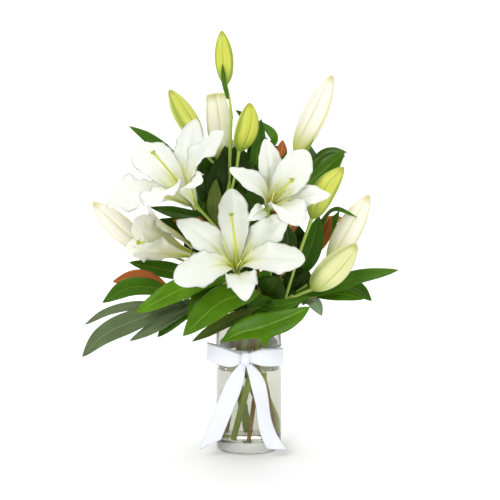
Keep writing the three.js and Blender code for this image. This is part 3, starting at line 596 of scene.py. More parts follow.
# Outlines as (radius, height). The water keeps a gap to the glass, and climbs a little at its edge.
VASE = [
    (0, 0), (VASE_RADIUS, 0), (VASE_RADIUS, VASE_HEIGHT), (VASE_INSIDE, VASE_HEIGHT),
    (VASE_INSIDE, VASE_FOOT), (0, VASE_FOOT),
]
HOLLOW_CORNER, GAP = 6, 0.2
WATER = [
    (0, VASE_FOOT + GAP), (VASE_INSIDE - HOLLOW_CORNER - GAP, VASE_FOOT + GAP),
    (VASE_INSIDE - GAP, VASE_FOOT + HOLLOW_CORNER), (VASE_INSIDE - GAP, WATER_LEVEL + 0.9),
    (VASE_INSIDE - 1.6, WATER_LEVEL + 0.2), (VASE_INSIDE - 5, WATER_LEVEL), (0, WATER_LEVEL),
]


def spun(bm, outline, steps):
    """Spins an outline of (radius, height) pairs round the vase's axis into a closed skin."""
    verts = [bm.verts.new((r * MM, 0, z * MM)) for r, z in outline]
    edges = [bm.edges.new(pair) for pair in zip(verts, verts[1:])]
    bmesh.ops.spin(
        bm, geom=verts + edges, cent=(0, 0, 0), axis=(0, 0, 1), dvec=(0, 0, 0),
        angle=2 * math.pi, steps=steps, use_merge=True,
    )
    bmesh.ops.remove_doubles(bm, verts=bm.verts, dist=1e-6)
    bmesh.ops.recalc_face_normals(bm, faces=bm.faces)


def ring_edges(bm, radius, height):
    """The edges of one ring of a spun skin, by its radius and height in millimetres."""
    def on_ring(vert):
        return abs(vert.co.xy.length - radius * MM) < 1e-5 and abs(vert.co.z - height * MM) < 1e-5
    return [edge for edge in bm.edges if all(on_ring(vert) for vert in edge.verts)]


def rounded(bm, radius, height, size, segments=5):
    """Rounds off one ring of a spun skin."""
    bmesh.ops.bevel(
        bm, geom=ring_edges(bm, radius, height), offset=size, segments=segments, profile=0.5,
        affect="EDGES", material=-1,
    )


class BOUQUET_OT_vase(bpy.types.Operator):
    """The glass cylinder: thick base, rounded heel and fire-polished rim"""
    bl_idname = "bouquet.vase"
    bl_label = "Glass vase"

    def execute(self, context):
        settings = context.scene.bouquet_vase
        bm = bmesh.new()
        spun(bm, VASE, settings.steps)
        rounded(bm, VASE_RADIUS, 0, settings.heel)
        rounded(bm, VASE_RADIUS, VASE_HEIGHT, settings.rim)
        rounded(bm, VASE_INSIDE, VASE_HEIGHT, settings.rim)
        rounded(bm, VASE_INSIDE, VASE_FOOT, HOLLOW_CORNER * MM, 8)
        # The glass is cut at the water's surface and just above the foot, where its looks change.
        # Only the tall faces of the wall cross those heights.
        foot_top = VASE_FOOT + 1
        for height in (WATER_LEVEL, foot_top):
            wall = [face for face in bm.faces if 40 * MM < face.calc_center_median().z < 190 * MM]
            edges = {edge for face in wall for edge in face.edges}
            corners = {vert for face in wall for vert in face.verts}
            bmesh.ops.bisect_plane(
                bm, geom=wall + list(edges | corners), plane_co=(0, 0, height * MM), plane_no=UP, dist=1e-6,
            )
        for face in bm.faces:
            face.smooth = True
            centre = face.calc_center_median()
            inside = centre.xy.length < (VASE_RADIUS - 2) * MM
            wet = inside and (VASE_FOOT - 1) * MM < centre.z < WATER_LEVEL * MM
            if centre.z < foot_top * MM and not wet:
                face.material_index = 2
            elif wet and face.normal.z > -0.5:
                face.material_index = 1
        # Light bends less where the glass meets water than where it meets air, and the thick
        # foot is greyer than the wall.
        materials = [
            glass_material("soda_lime_glass", settings, GLASS_IOR),
            glass_material("soda_lime_glass_under_water", settings, GLASS_IOR / WATER_IOR),
            glass_material("soda_lime_glass_foot", settings, GLASS_IOR, 0.62),
        ]
        finish_piece("glass_vase", bm, materials, ["vase"], "glass")
        return {"FINISHED"}


class BOUQUET_OT_water(bpy.types.Operator):
    """The water, which climbs a little where it meets the glass"""
    bl_idname = "bouquet.water"
    bl_label = "Water"

    def execute(self, context):
        settings = context.scene.bouquet_vase
        bm = bmesh.new()
        spun(bm, WATER, settings.steps)
        for face in bm.faces:
            face.smooth = True
            face.material_index = 0 if face.normal.z > 0.1 else 1
        finish_piece("vase_water", bm, [water_material(settings), wetted_material()], ["water"], "water")
        return {"FINISHED"}


# ---------------------------------------------------------------- stems

# The stems' cut ends stand on one circle on the vase's floor, and they cross on a narrower one
# just below its mouth.
END_RADIUS, END_HEIGHT = 36, 17.5
WAIST_RADIUS, WAIST_HEIGHT = 18, 165

# Each stem: its CAD node, the way it leans in degrees and its path above the mouth.
STEMS = [
    ("lily_stem_right", -18, [(30, -29, 212), (54, -30, 230)]),
    ("woody_stem_right", 18, [(50, -4, 262), (62, 22, 330), (66, 38, 374)]),
    ("lily_stem_back_right", 54, [(32, 4, 260), (37, 10, 326)]),
    ("woody_stem_back", 90, [(12, 30, 290), (6, 38, 388)]),
    ("lily_stem_centre", 126, [(-10, 12, 250), (-34, 6, 325), (-30, 11, 410), (-26, 9, 508)]),
    ("woody_stem_back_left", 162, [(-45, 40, 262), (-70, 46, 300)]),
    ("lily_stem_left", 198, [(-40, 18, 236), (-62, 18, 264)]),
    ("woody_stem_left", 234, [(-32, -8, 230)]),
    ("lily_stem_front", 270, [(-12, -18, 240)]),
    ("woody_stem_front", 306, [(-8, -38, 205)]),
]


def stem_points(lean, upper):
    """Foot on the vase's floor, waist in the mouth, then out to the stem's own end."""
    foot = about_axis(lean - 180, END_RADIUS, END_HEIGHT)
    waist = about_axis(lean - 90, WAIST_RADIUS, WAIST_HEIGHT)
    mouth = waist + (waist - foot) * (VASE_HEIGHT - WAIST_HEIGHT) / (WAIST_HEIGHT - END_HEIGHT)
    return [foot, waist, mouth, *upper]


def stem_radius(size, span, gap, start, slimming, swelling):
    """A stem's radius along it: a swollen node where each leaf was stripped off, slimmer at the top."""
    def radius(t):
        off = (t * span - start) % gap
        slim = 1 - slimming * ease(t, 0.45, 1.0)
        return size * slim * (1 + swelling * hump(off - gap / 2, 2.2))
    return radius


class BOUQUET_OT_stems(bpy.types.Operator):
    """The stems, crossing at the mouth as in a spiralled hand-tied bunch"""
    bl_idname = "bouquet.stems"
    bl_label = "Stems"

    def execute(self, context):
        settings = context.scene.bouquet_stems
        green = shared_material("lily_stem_skin", stem_material, settings)
        bark = shared_material("shrub_bark", bark_material, settings)
        for order, (node, lean, upper) in enumerate(STEMS):
            points = stem_points(lean, upper)
            span = smooth_line(points).total
            start = 9 + 7 * (order % 3)
            if node.startswith("woody"):
                skin, slot = bark, "wood"
                radius = stem_radius(3.0, span, gap=34, start=start, slimming=0.1, swelling=0.16)
            else:
                skin, slot = green, "stem"
                radius = stem_radius(4.3, span, gap=46, start=start, slimming=0.45, swelling=0.08)

            def section(angle, t):
                """A little out of round, and turning along the stem."""
                return 1 + 0.035 * math.cos(3 * angle + order) + 0.02 * math.cos(5 * angle + 9 * t)

            bm = bmesh.new()
            at = midrib(points, (0.3, 0.9, 0.1))
            tube(bm, at, radius, sides=14, along=90, section=section, cut_end=True)
            finish_piece(node.replace("_stem", "_stalk"), bm, [skin], [node], slot)
        return {"FINISHED"}


# ---------------------------------------------------------------- ribbon

BAND_RADIUS, BAND_HEIGHT = VASE_RADIUS + 0.75, 150.5

# Each loop of the bow: its line out from the knot, round its fold and back, how far it puffs
# out and where its pleats start.
BOW_LOOPS = [
    ([(-5, -62, 153), (-15, -66, 151), (-28, -67, 151.5), (-48, -62, 157), (-61, -54, 160.5),
      (-63, -50, 161), (-58, -50, 160), (-44, -55, 156), (-28, -59, 152), (-12, -60, 152),
      (-3, -59, 153)], 1.6, 0.4),
    ([(-4, -62, 153), (4, -66, 153.5), (16, -67.5, 154), (36, -62, 152.5), (50, -52, 151.5),
      (52.5, -47, 151.5), (48, -48, 151.5), (36, -55, 152.5), (18, -60, 154), (6, -60, 153.5),
      (-3, -59, 153)], 1.2, 1.7),
]
LOOP_WIDTH = profile([(0, 0.34), (0.05, 0.5), (0.2, 0.96), (0.5, 1.0), (0.8, 0.96), (0.95, 0.5), (1, 0.34)])
KNOT = [(-3.5, -64.5, 143), (-5, -66.5, 152), (-4, -64.5, 161)]
KNOT_GIRTH = profile([(0, 0.5), (0.12, 0.8), (0.35, 1.0), (0.65, 0.96), (0.88, 0.78), (1, 0.5)])
# Each tail: its piece, its CAD node, its line down, the way it faces at each end, the slant of
# its cut and where its waves start.
TAILS = [
    ("satin_tail_left", "ribbon_tail_left",
     [(-5, -64, 147), (-12, -67, 136), (-29, -70, 95), (-50, -72, 42), (-63, -72, 8)],
     (0.05, -1, 0.1), (-0.2, -1, 0), 0.19, 0.4),
    ("satin_tail_right", "ribbon_tail_right",
     [(-3, -63, 147), (4, -67, 137), (13, -69, 119), (20, -70, 88), (25, -71, 54), (35, -71, 26),
      (51, -70, 4)],
     (0.45, -0.9, 0.1), (0.75, -0.75, 0), -0.15, 2.2),
]
TAIL_WIDTH = profile([(0, 0.3), (0.06, 0.42), (0.16, 0.74), (0.28, 0.97), (0.5, 1.0), (1, 0.98)])


class BOUQUET_OT_ribbon(bpy.types.Operator):
    """The satin ribbon: a band round the glass, a flat bow with a knot, and two tails"""
    bl_idname = "bouquet.ribbon"
    bl_label = "Satin ribbon"

    def execute(self, context):
        settings = context.scene.bouquet_ribbon
        satin = satin_material(settings)
        half = settings.width / MM / 2
        cloth = settings.cloth / MM

        bm = bmesh.new()
        ring = Line([about_axis(bearing, BAND_RADIUS, BAND_HEIGHT) for bearing in range(-90, 271, 6)])

        def round_glass(t):
            point, along = ring(t)
            return point, UP, Vector((point.x, point.y, 0)).normalized()

        # The band is drawn tight, and shows 5 mm narrower than the ribbon lies flat.
        blade(
            bm, round_glass, lambda t: half - 2.5, lambda a, t, w: 0.12 * math.sin(40 * t + 2 * a),
            lambda a, t: cloth, across=4, along=96,
        )
        band = finish_piece("satin_band", bm, [satin], ["ribbon_band"], "ribbon")

        bm = bmesh.new()
        for points, gather, end in BOW_LOOPS:
            line = smooth_line(points)

            def at(t):
                point, along = line(t)
                side = (UP - along.z * along).normalized()
                return point, side, side.cross(along)

            def lift(a, t, w):
                near = math.exp(-t * 9) + math.exp(-(1 - t) * 9)
                pleat = near * (1.7 * math.cos(4.0 * math.pi * a + end) - 1.2)
                puff = gather * math.sin(math.pi * t * 2) * (1 - a * a)
                return pleat + puff + 0.6 * math.sin(9 * t + 2.4 * a + end)

            blade(bm, at, lambda t: half * LOOP_WIDTH(t), lift, lambda a, t: cloth, across=9, along=72)
        knot = midrib(KNOT, (0.1, -1, 0))

        def pinch(angle, t):
            """Wider than deep, with the creases of a pulled knot."""
            flat = math.hypot(math.cos(angle) * 1.15, math.sin(angle) * 0.8)
            return flat * (1 + 0.09 * math.cos(7 * angle + 4 * t) + 0.04 * math.cos(3 * angle - 9 * t))

        tube(bm, knot, lambda t: 5.8 * KNOT_GIRTH(t), sides=56, along=22, section=pinch, cut_end=True)
        bow = finish_piece("satin_bow", bm, [satin], ["ribbon_bow"], "ribbon")

        for name, node, points, up, up_tip, slant, phase in TAILS:
            bm = bmesh.new()

            def lift(a, t, w):
                pleats = 1.5 * math.cos(3.5 * math.pi * a) * math.exp(-t * 8)
                return pleats + 1.5 * math.sin(2.6 * math.pi * t + 1.3 * a + phase) * ease(t, 0.1, 0.5)

            blade(
                bm, midrib(points, up, up_tip), lambda t: half * TAIL_WIDTH(t), lift, lambda a, t: cloth,
                across=9, along=56, slant=slant,
            )
            tail = finish_piece(name, bm, [satin], [node], "ribbon")
        return {"FINISHED"}


# ---------------------------------------------------------------- lilies

INNER_WIDTH = profile([
    (0, 0.15), (0.13, 0.25), (0.3, 0.55), (0.48, 0.88), (0.62, 1.0), (0.76, 0.95), (0.89, 0.68),
    (0.97, 0.34), (1, 0.03),
])
OUTER_WIDTH = profile([
    (0, 0.19), (0.13, 0.30), (0.3, 0.56), (0.48, 0.88), (0.62, 1.0), (0.76, 0.88), (0.89, 0.55),
    (0.97, 0.25), (1, 0.03),
])
# Each whorl: where its tepals start, how far they flare before they bend, and half their width.
OUTER_WHORL = dict(radius=7.4, height=1.4, flare=0.2, half=22, width=OUTER_WIDTH)
INNER_WHORL = dict(radius=5, height=4.6, flare=0.06, half=28, width=INNER_WIDTH)

# Each lily: its base, its axis, how far its filaments spread, its tepals, its style in its own
# frame and its stalk in the bouquet's. Each tepal: azimuth, opening, length, curl and breadth,
# then how far its edge ruffles, its margins turn back and it twists.
LILIES = [
    dict(
        name="lily_upper_left", base=(-82, -10, 377), axis=(-0.47, -0.47, 0.75), spread=24,
        inner=[
            (8, 51, 128, 38, 0.98, 0.16, 0.25, 0), (117, 47, 130, 30, 1.05, 0.09, 0.15, 8),
            (250, 46, 128, 44, 1.05, 0.20, 0.3, -10),
        ],
        outer=[
            (56, 52, 130, 25, 1.1, 0.08, 0.2, 28), (183, 57, 132, 64, 1.5, 0.26, 0.35, -28),
            (300, 50, 124, 45, 1.0, 0.18, 0.3, 0),
        ],
        style=[(-2, 2, 70), (-6, 5, 111)], stalk=[(-66, -7, 361), (-44, 1, 334)],
    ),
    dict(
        name="lily_right", base=(28, -20, 372), axis=(0.31, -0.81, 0.49), spread=19,
        inner=[
            (178, 48, 116, 32, 0.70, 0.09, 0.25, 28), (72, 38, 112, 35, 0.90, 0.08, 0.15, 0),
            (293, 36, 112, 52, 0.95, 0.18, 0.3, 0),
        ],
        outer=[
            (123, 44, 114, 26, 0.92, 0.06, 0.1, 0), (8, 41, 108, 42, 0.88, 0.12, 0.35, -14),
            (236, 50, 100, 40, 0.55, 0.07, 0.3, -60),
        ],
        style=[(0, 0, 65), (2, 2, 104)], stalk=[(31, -6, 352), (35, 4, 334)],
    ),
    dict(
        name="lily_front", base=(-18, -35, 280), axis=(0, -0.78, 0.63), spread=28,
        inner=[
            (94, 54, 124, 16, 0.84, 0.20, 0.15, 6), (212, 58, 124, 34, 0.98, 0.12, 0.3, 0),
            (348, 56, 124, 28, 0.92, 0.10, 0.3, 0),
        ],
        outer=[
            (153, 54, 122, 38, 1.12, 0.12, 0.3, 8), (279, 53, 112, 84, 1.05, 0.2, 0.3, 0),
            (36, 54, 118, 20, 1.1, 0.10, 0.2, 0),
        ],
        style=[(-2, 14, 66), (-8, 44, 90)], stalk=[(-14, -23, 262), (-12, -19, 245)],
    ),
    dict(
        name="lily_left", base=(-87, 15, 298), axis=(-0.9, -0.22, 0.36), spread=13,
        inner=[
            (75, 21, 104, 24, 0.95, 0.26, 0.3, 0), (195, 20, 104, 18, 0.9, 0.18, 0.2, 0),
            (315, 21, 102, 30, 0.95, 0.26, 0.4, 0),
        ],
        outer=[
            (15, 29, 106, 30, 1.0, 0.10, 0.2, 0), (135, 28, 104, 22, 1.1, 0.14, 0.3, 0),
            (255, 28, 104, 22, 1.0, 0.18, 0.3, 0),
        ],
        style=[(-3, 0, 55), (-12, 0, 84)], stalk=[(-76, 17, 284), (-66, 17, 269)],
    ),
]


class Flower:
    """A lily's own frame: its base on the stalk and its axis out through the throat."""

    def __init__(self, base, axis):
        self.base = Vector(base)
        self.turn = UP.rotation_difference(Vector(axis).normalized()).to_matrix()

    def spot(self, point):
        return self.base + self.turn @ Vector(point)

    def reading(self, at):
        """A midrib read in the flower's frame, given in the bouquet's."""
        def read(t):
            point, side, up = at(t)
            return self.spot(point), self.turn @ side, self.turn @ up
        return read


def tepal(bm, flower, whorl, row, settings, seed):
    """One tepal: cupped round the throat, grooved along its midrib, ruffled and turned back at its edge."""
    azimuth, opening, size, curl, breadth, ruffle, recurve, twist = row
    lean, end = math.radians(opening), math.radians(opening + curl)
    tip = Vector((size * math.sin(lean), size * math.cos(lean)))
    flat = geometry.interpolate_bezier(
        Vector((whorl["radius"], whorl["height"])),
        Vector((whorl["radius"] + whorl["flare"] * size, whorl["height"] + 0.38 * size)),
        tip - 0.34 * size * Vector((math.sin(end), math.cos(end))),
        tip, 48,
    )
    outward = about_axis(azimuth)
    line = Line([outward * p.x + Vector((0, 0, p.y)) for p in flat])
    tangential = UP.cross(outward)
    chance = random.Random(seed)
    phase, phase2, waves = chance.uniform(0, 6.28), chance.uniform(0, 6.28), chance.uniform(2.2, 3.2)

    def at(t):
        point, along = line(t)
        up = along.cross(tangential).normalized()
        up = Matrix.Rotation(math.radians(twist) * t * t, 3, along) @ up
        return point, along.cross(up), up

    def reach(t):
        point, along = line(t)
        return max(Vector((point.x, point.y)).length, 3)

    def lift(a, t, w):
        cup = min(w * w / (2 * reach(t)), 0.4 * w) + 0.06 * w
        groove = settings.groove / MM * hump(a, 0.10) * (1 - ease(t, 0.75, 1.0))
        cheek = 0.9 * hump(abs(a) - 0.34, 0.2) * (1 - ease(t, 0.7, 1.0))
        back = recurve * w * abs(a) ** 3 * ease(t, 0.3, 0.8)
        edge = abs(a) ** 3 * ease(t, 0.18, 0.5) * (1 - 0.5 * ease(t, 0.9, 1.0))
        swing = math.sin(2 * math.pi * waves * t + (phase if a > 0 else phase2))
        swing += 0.45 * math.sin(2 * math.pi * waves * 2.3 * t + phase2 + a)
        grain = noise.noise(Vector((a * 1.4, t * 4, seed * 3.7))) * 2.0
        return cup * a * a - groove + cheek - back + ruffle * w * edge * swing + grain * ease(t, 0.1, 0.4)

    def half_width(t):
        nick = 1 + (0.025 * math.sin(33 * t + phase) + 0.02 * math.sin(57 * t + phase2)) * ease(t, 0.3, 0.6)
        return breadth * whorl["half"] * whorl["width"](t) * nick

    thick = settings.thickness / MM

    def thickness(a, t):
        return thick * (0.35 + 0.65 * (1 - a * a)) + 0.8 * hump(a, 0.08)

    blade(bm, flower.reading(at), half_width, lift, thickness, across=9, along=44, slots=(0, 1))


def three_lobed(depth):
    """A section with three rounded lobes, as a lily's pistil has all the way up."""
    return lambda angle, t: 1 + depth * math.cos(3 * angle)


FILAMENT_GIRTH = profile([(0, 1.9), (0.2, 1.7), (0.6, 1.2), (0.9, 0.8), (1, 0.12)])
STYLE_GIRTH = profile([
    (0, 2.6), (0.12, 2.9), (0.24, 2.6), (0.32, 1.7), (0.6, 1.5), (0.86, 1.6), (0.92, 2.1), (0.955, 1.9),
    (1, 1.5),
])
STIGMA_GIRTH = profile([(0, 0.4), (0.2, 0.78), (0.5, 1.0), (0.8, 0.86), (0.95, 0.45), (1, 0.05)])
FLOWER_STALK_GIRTH = profile([(0, 5.6), (0.07, 4.6), (0.16, 2.9), (0.3, 2.3), (0.8, 2.1), (1, 2.3)])


def filament(bm, flower, k, azimuth, spread):
    """The flower's filament number k: up from its heart, out with its tepal and bent a little aside."""
    out = about_axis(azimuth)
    bend = UP.cross(out) * (4 if k % 2 else -5)
    points = [
        out * 3.5 + 2 * UP, out * 3.6 + 9 * UP, out * (4 + 0.3 * spread) + 36 * UP,
        out * spread * 0.95 + bend + (74 + 3 * (k % 3)) * UP,
    ]
    tube(bm, flower.reading(midrib(points, (0.3, 0.4, 0.87))), FILAMENT_GIRTH, sides=8, along=26)


def pistil(bm, flower, style, stalk):
    """The ovary and the style, the stigma on its end, and the stalk that holds the flower."""
    facing = (0.31, 0.87, 0.38)
    shaft = [UP, 14 * UP, 30 * UP, *[Vector(p) for p in style]]
    at = flower.reading(midrib(shaft, facing))
    tube(bm, at, STYLE_GIRTH, sides=18, along=56, section=three_lobed(0.07), cut_end=True)
    # The stigma is a three-lobed pad with a furrow between its lobes.
    end = (shaft[-1] - shaft[-2]).normalized()
    at = flower.reading(midrib([shaft[-1] - 3 * end, shaft[-1] + 2.5 * end], facing))
    tube(bm, at, lambda t: 3.7 * STIGMA_GIRTH(t), sides=30, along=14, section=three_lobed(0.22), slot=1)
    points = [flower.spot((0, 0, 0.6)), *[Vector(p) for p in stalk]]
    # The stalk ends inside the stem it grows from.
    points.append(points[-1] + 8 * (points[-1] - points[-2]).normalized())
    at = midrib(points, (0.2, 0.3, 0.9))
    tube(bm, at, FLOWER_STALK_GIRTH, sides=16, along=24, section=three_lobed(0.05), slot=2, cut_end=True)


class BOUQUET_OT_lilies(bpy.types.Operator):
    """The open lilies: two whorls of tepals, filaments, a style with its stigma, and a stalk"""
    bl_idname = "bouquet.lilies"
    bl_label = "Open lilies"

    def execute(self, context):
        settings = context.scene.bouquet_lilies
        grown = [petal_material(f"lily_tepal_{side}", settings, settings.petal) for side in ("face", "back")]
        young = [petal_material(f"young_tepal_{side}", settings, "#f6f7e6") for side in ("face", "back")]
        thread = flesh_material("lily_filament", "#dbe046", "#f0f0a8")
        style = flesh_material("lily_style", "#bfcb3a", "#d6db55")
        stigma = flesh_material("lily_stigma", settings.stigma, settings.stigma, 0.3)
        stalk = shared_material("lily_stem_skin", stem_material, context.scene.bouquet_stems)
        for number, lily in enumerate(LILIES):
            name = lily["name"]
            flower = Flower(lily["base"], lily["axis"])
            skins = young if name == "lily_left" else grown
            for whorl, rows, label in (
                (OUTER_WHORL, lily["outer"], "outer_tepals"), (INNER_WHORL, lily["inner"], "inner_tepals"),
            ):
                bm = bmesh.new()
                for k, row in enumerate(rows):
                    tepal(bm, flower, whorl, row, settings, seed=12 + 10 * number + k)
                finish_piece(f"{name}_{label}_fresh", bm, skins, [f"{name}_{label}"], "tepal")

            bm = bmesh.new()
            for k, row in enumerate([*lily["outer"], *lily["inner"]]):
                filament(bm, flower, k, row[0], lily["spread"])
            finish_piece(f"{name}_filaments", bm, [thread], [f"{name}_stamens"], "pistil")

            bm = bmesh.new()
            pistil(bm, flower, lily["style"], lily["stalk"])
            finish_piece(f"{name}_style", bm, [style, stigma, stalk], [f"{name}_pistil"], "pistil")
        return {"FINISHED"}


# ---------------------------------------------------------------- buds

# Each bud: its stalk, then its base, middle and tip, its radius, its tone from green to cream,
# how far its tip has opened, and how it is turned on its stalk.
BUDS = {
    "bud_top": (
        [(-26, 9, 512), (-29, 9, 536)], (-34, 10, 556), (-36, 8, 597), (-40, 5, 636),
        13.5, 0.0, 0.0, 0.3,
    ),
    "bud_upper_left": (
        [(-37, 12, 424), (-62, 22, 446)], (-72, 34, 468), (-98, 34, 506), (-120, 28, 547),
        16, 0.05, 0.0, 1.2,
    ),
    "bud_open_tipped": (
        [(-36, 18, 396), (-40, 32, 420)], (-42, 38, 439), (-45, 40, 493), (-51, 38, 541),
        19, 0.85, 1.0, 0.6,
    ),
    "bud_centre": (
        [(-24, 4, 404), (-18, -8, 432)], (-14, -10, 458), (-3, -13, 493), (2, -15, 530),
        16.5, 0.0, 0.0, 0.9,
    ),
    "bud_tall_right": (
        [(40, 15, 332), (56, 32, 400)], (72, 35, 452), (102, 34, 507), (127, 30, 569),
        19, 1.0, 0.15, 0.2,
    ),
    "bud_green_right": (
        [(56, -25, 238), (76, -22, 302)], (95, -20, 358), (112, -27, 398), (141, -35, 436),
        17.5, 0.02, 0.0, 0.5,
    ),
    "bud_far_right": (
        [(62, -16, 236), (98, 2, 259)], (123, 0, 283), (153, -2, 337), (182, -5, 391),
        19.5, 0.95, 0.1, 0.4,
    ),
    "bud_low_right": (
        [(60, -33, 236), (78, -42, 246)], (95, -45, 254), (125, -52, 286), (160, -60, 324),
        21, 0.4, 0.35, 1.0,
    ),
    "bud_far_left": (
        [(-68, 26, 272), (-122, 56, 288)], (-161, 68, 295), (-200, 58, 333), (-240, 42, 374),
        18.5, 1.0, 0.1, 0.7,
    ),
    "bud_behind": (
        [(-4, 44, 396)], (-14, 50, 420), (-20, 53, 444), (-26, 52, 470),
        12, 0.95, 0.3, 0.0,
    ),
}
BUD_GIRTH = profile([
    (0, 0.24), (0.05, 0.5), (0.16, 0.8), (0.36, 0.99), (0.52, 1.0), (0.68, 0.88), (0.82, 0.64), (0.93, 0.36),
    (0.985, 0.15), (1, 0.02),
])
OPEN_GIRTH = profile([(0, 0.3), (0.1, 0.62), (0.3, 0.9), (0.5, 1.0), (0.75, 0.92), (0.93, 0.72), (1, 0.55)])
BUD_STALK_GIRTH = profile([(0, 2.2), (0.5, 2.1), (0.85, 2.4), (0.95, 3.2), (1, 4.2)])
# A small leaf beside a bud: its midrib, half its width and its finish.
BRACTS = {
    "bud_top": ([(-31, 7, 534), (-37, -2, 561), (-39, -9, 587)], 3.6, "lily_leaf"),
    "bud_tall_right": ([(73, 32, 446), (87, 26, 460), (98, 20, 484)], 6, "lily_bract"),
}


def bud_section(seam, opened):
    """Three rounded tepals: a seam between each two, and a raised rib down the middle of each."""
    def section(angle, t):
        third = (angle / (2 * math.pi) * 3) % 1
        crease = seam * hump(min(third, 1 - third), 0.07) * ease(t, 0.02, 0.2)
        rib = 0.05 * hump(third - 0.5, 0.09) * ease(t, 0.05, 0.3)
        lobe = math.cos(3 * angle + math.pi)
        return 1 - crease + rib + 0.06 * lobe * ease(t, 0.1, 0.4) + opened * 0.25 * lobe * ease(t, 0.85, 1.0)
    return section


class BOUQUET_OT_buds(bpy.types.Operator):
    """The closed buds: three outer tepals that meet in seams, ribbed, each on its stalk"""
    bl_idname = "bouquet.buds"
    bl_label = "Lily buds"

    def execute(self, context):
        settings = context.scene.bouquet_buds
        skin = bud_material(settings)
        green = shared_material("lily_stem_skin", stem_material, context.scene.bouquet_stems)
        for name, (stalk, base, middle, tip, radius, tone, opened, turn) in BUDS.items():
            bm = bmesh.new()
            cut_open = opened > 0.9
            girth = OPEN_GIRTH if cut_open else BUD_GIRTH
            tube(
                bm, midrib([base, middle, tip], (math.sin(turn), -math.cos(turn), 0.2)),
                lambda t: radius * girth(t), sides=60, along=48, tone=tone,
                section=bud_section(settings.seam / MM / radius, opened), cut_end=cut_open,
            )
            lead = [Vector(p) for p in (*stalk, base)]
            # The stalk grows out of the stem below it.
            lead.insert(0, lead[0] - 7 * (lead[1] - lead[0]).normalized())
            lead.append(Vector(base).lerp(Vector(middle), 0.08))
            tube(bm, midrib(lead, (0.2, 0.3, 0.9)), BUD_STALK_GIRTH, sides=14, along=30, slot=1)
            materials = [skin, green]
            if name in BRACTS:
                points, half, finish = BRACTS[name]
                materials.append(leaf_finish(finish))
                blade(
                    bm, midrib(points, (0.1, -1, 0.2)), lambda t: half * LEAF_WIDTH["strap"](t),
                    lambda a, t, w: 0.25 * w * abs(a), lambda a, t: 0.6, across=5, along=20, slots=(2, 2),
                )
            finish_piece(name + "_fresh", bm, materials, [name], "bud")
        return {"FINISHED"}


# ---------------------------------------------------------------- leaves

# Each kind of leaf: the finish of its upper side and of its underside.
LEAF_KINDS = {
    "philodendron": ("philodendron_leaf", "philodendron_underside"),
    "magnolia": ("magnolia_leaf", "magnolia_leaf_felt"),
    # shade: dark filler leaves whose finish is painted shade for the depths of the bunch.
    "shade": ("magnolia_shade", "magnolia_shade"),
    "lily": ("lily_leaf", "lily_leaf_underside"),
    "monstera": ("monstera_underside", "monstera_leaf"),
    "sage": ("eucalyptus_leaf", "eucalyptus_underside"),
    "olive": ("olive_leaf", "olive_underside"),
}
# Each finish: its colour between the veins, on them and at the margin, how rough it is, how many
# side veins it has to its length (none: parallel ones) and how much wax it carries.
LEAF_FINISHES = {
    "philodendron_leaf": ("#3e6c04", "#6a990a", "#9cbc3a", 0.32, 7.0, 0.10),
    "philodendron_underside": ("#507c1a", "#7ba030", "#a2ba50", 0.5, 7.0, 0.03),
    "magnolia_leaf": ("#335608", "#548314", "#84993a", 0.26, 9.0, 0.12),
    # A darker copy of the magnolia leaf: painted shade for leaves deep in the bunch.
    "magnolia_shade": ("#233a04", "#395808", "#556a1e", 0.35, 9.0, 0.12),
    "lily_leaf": ("#3c6c0e", "#608e20", "#84a43c", 0.36, 0.0, 0.07),
    "lily_bract": ("#8ea632", "#b4c456", "#d0da7c", 0.45, 0.0, 0.05),
    "lily_leaf_underside": ("#4c8238", "#76a55a", "#8fb870", 0.5, 0.0, 0.05),
    "monstera_underside": ("#5c6c48", "#808f64", "#98a67c", 0.55, 6.0, 0.03),
    "monstera_leaf": ("#345c18", "#5a8830", "#86a046", 0.35, 6.0, 0.2),
    "eucalyptus_leaf": ("#6c8560", "#90a582", "#a9b894", 0.6, 6.0, 0.0),
    "eucalyptus_underside": ("#7f9676", "#9fb192", "#b5c2a4", 0.65, 6.0, 0.0),
    "olive_leaf": ("#566c22", "#84924a", "#a5a850", 0.45, 8.0, 0.1),
    "olive_underside": ("#7a8a4a", "#98a468", "#b0b880", 0.6, 8.0, 0.0),
}
LEAF_WIDTH = {
    "lance": profile([
        (0, 0.10), (0.08, 0.36), (0.3, 0.88), (0.5, 1.0), (0.72, 0.82), (0.9, 0.40), (0.97, 0.15),
        (1, 0.01),
    ]),
    "broad": profile([
        (0, 0.10), (0.08, 0.45), (0.25, 0.90), (0.48, 1.03), (0.72, 0.84), (0.9, 0.40), (0.97, 0.15),
        (1, 0.01),
    ]),
    "strap": profile([
        (0, 0.45), (0.1, 0.70), (0.3, 0.96), (0.52, 1.0), (0.75, 0.80), (0.91, 0.42), (0.97, 0.16),
        (1, 0.01),
    ]),
    "stalked": profile([
        (0, 0.07), (0.2, 0.07), (0.3, 0.2), (0.45, 0.74), (0.62, 1.0), (0.8, 0.82), (0.93, 0.4),
        (0.98, 0.14), (1, 0.01),
    ]),
    "lobe": profile([
        (0, 0.30), (0.12, 0.45), (0.35, 0.85), (0.58, 1.0), (0.78, 0.80), (0.92, 0.40), (0.97, 0.18),
        (1, 0.01),
    ]),
}
# The lobed leaf's two edges, from its left lobe to its tip: the lower one has a lobe of its own.
LOBED_UPPER = profile([
    (0, 0.02), (0.06, 0.24), (0.2, 0.72), (0.36, 0.95), (0.56, 0.74), (0.8, 0.42), (0.94, 0.18), (1, 0.01),
])
LOBED_LOWER = profile([
    (0, 0.02), (0.08, 0.22), (0.22, 0.5), (0.36, 0.66), (0.41, 0.76), (0.46, 1.5), (0.5, 1.0), (0.56, 0.88),
    (0.72, 0.88), (0.88, 0.6), (0.96, 0.26), (1, 0.01),
])

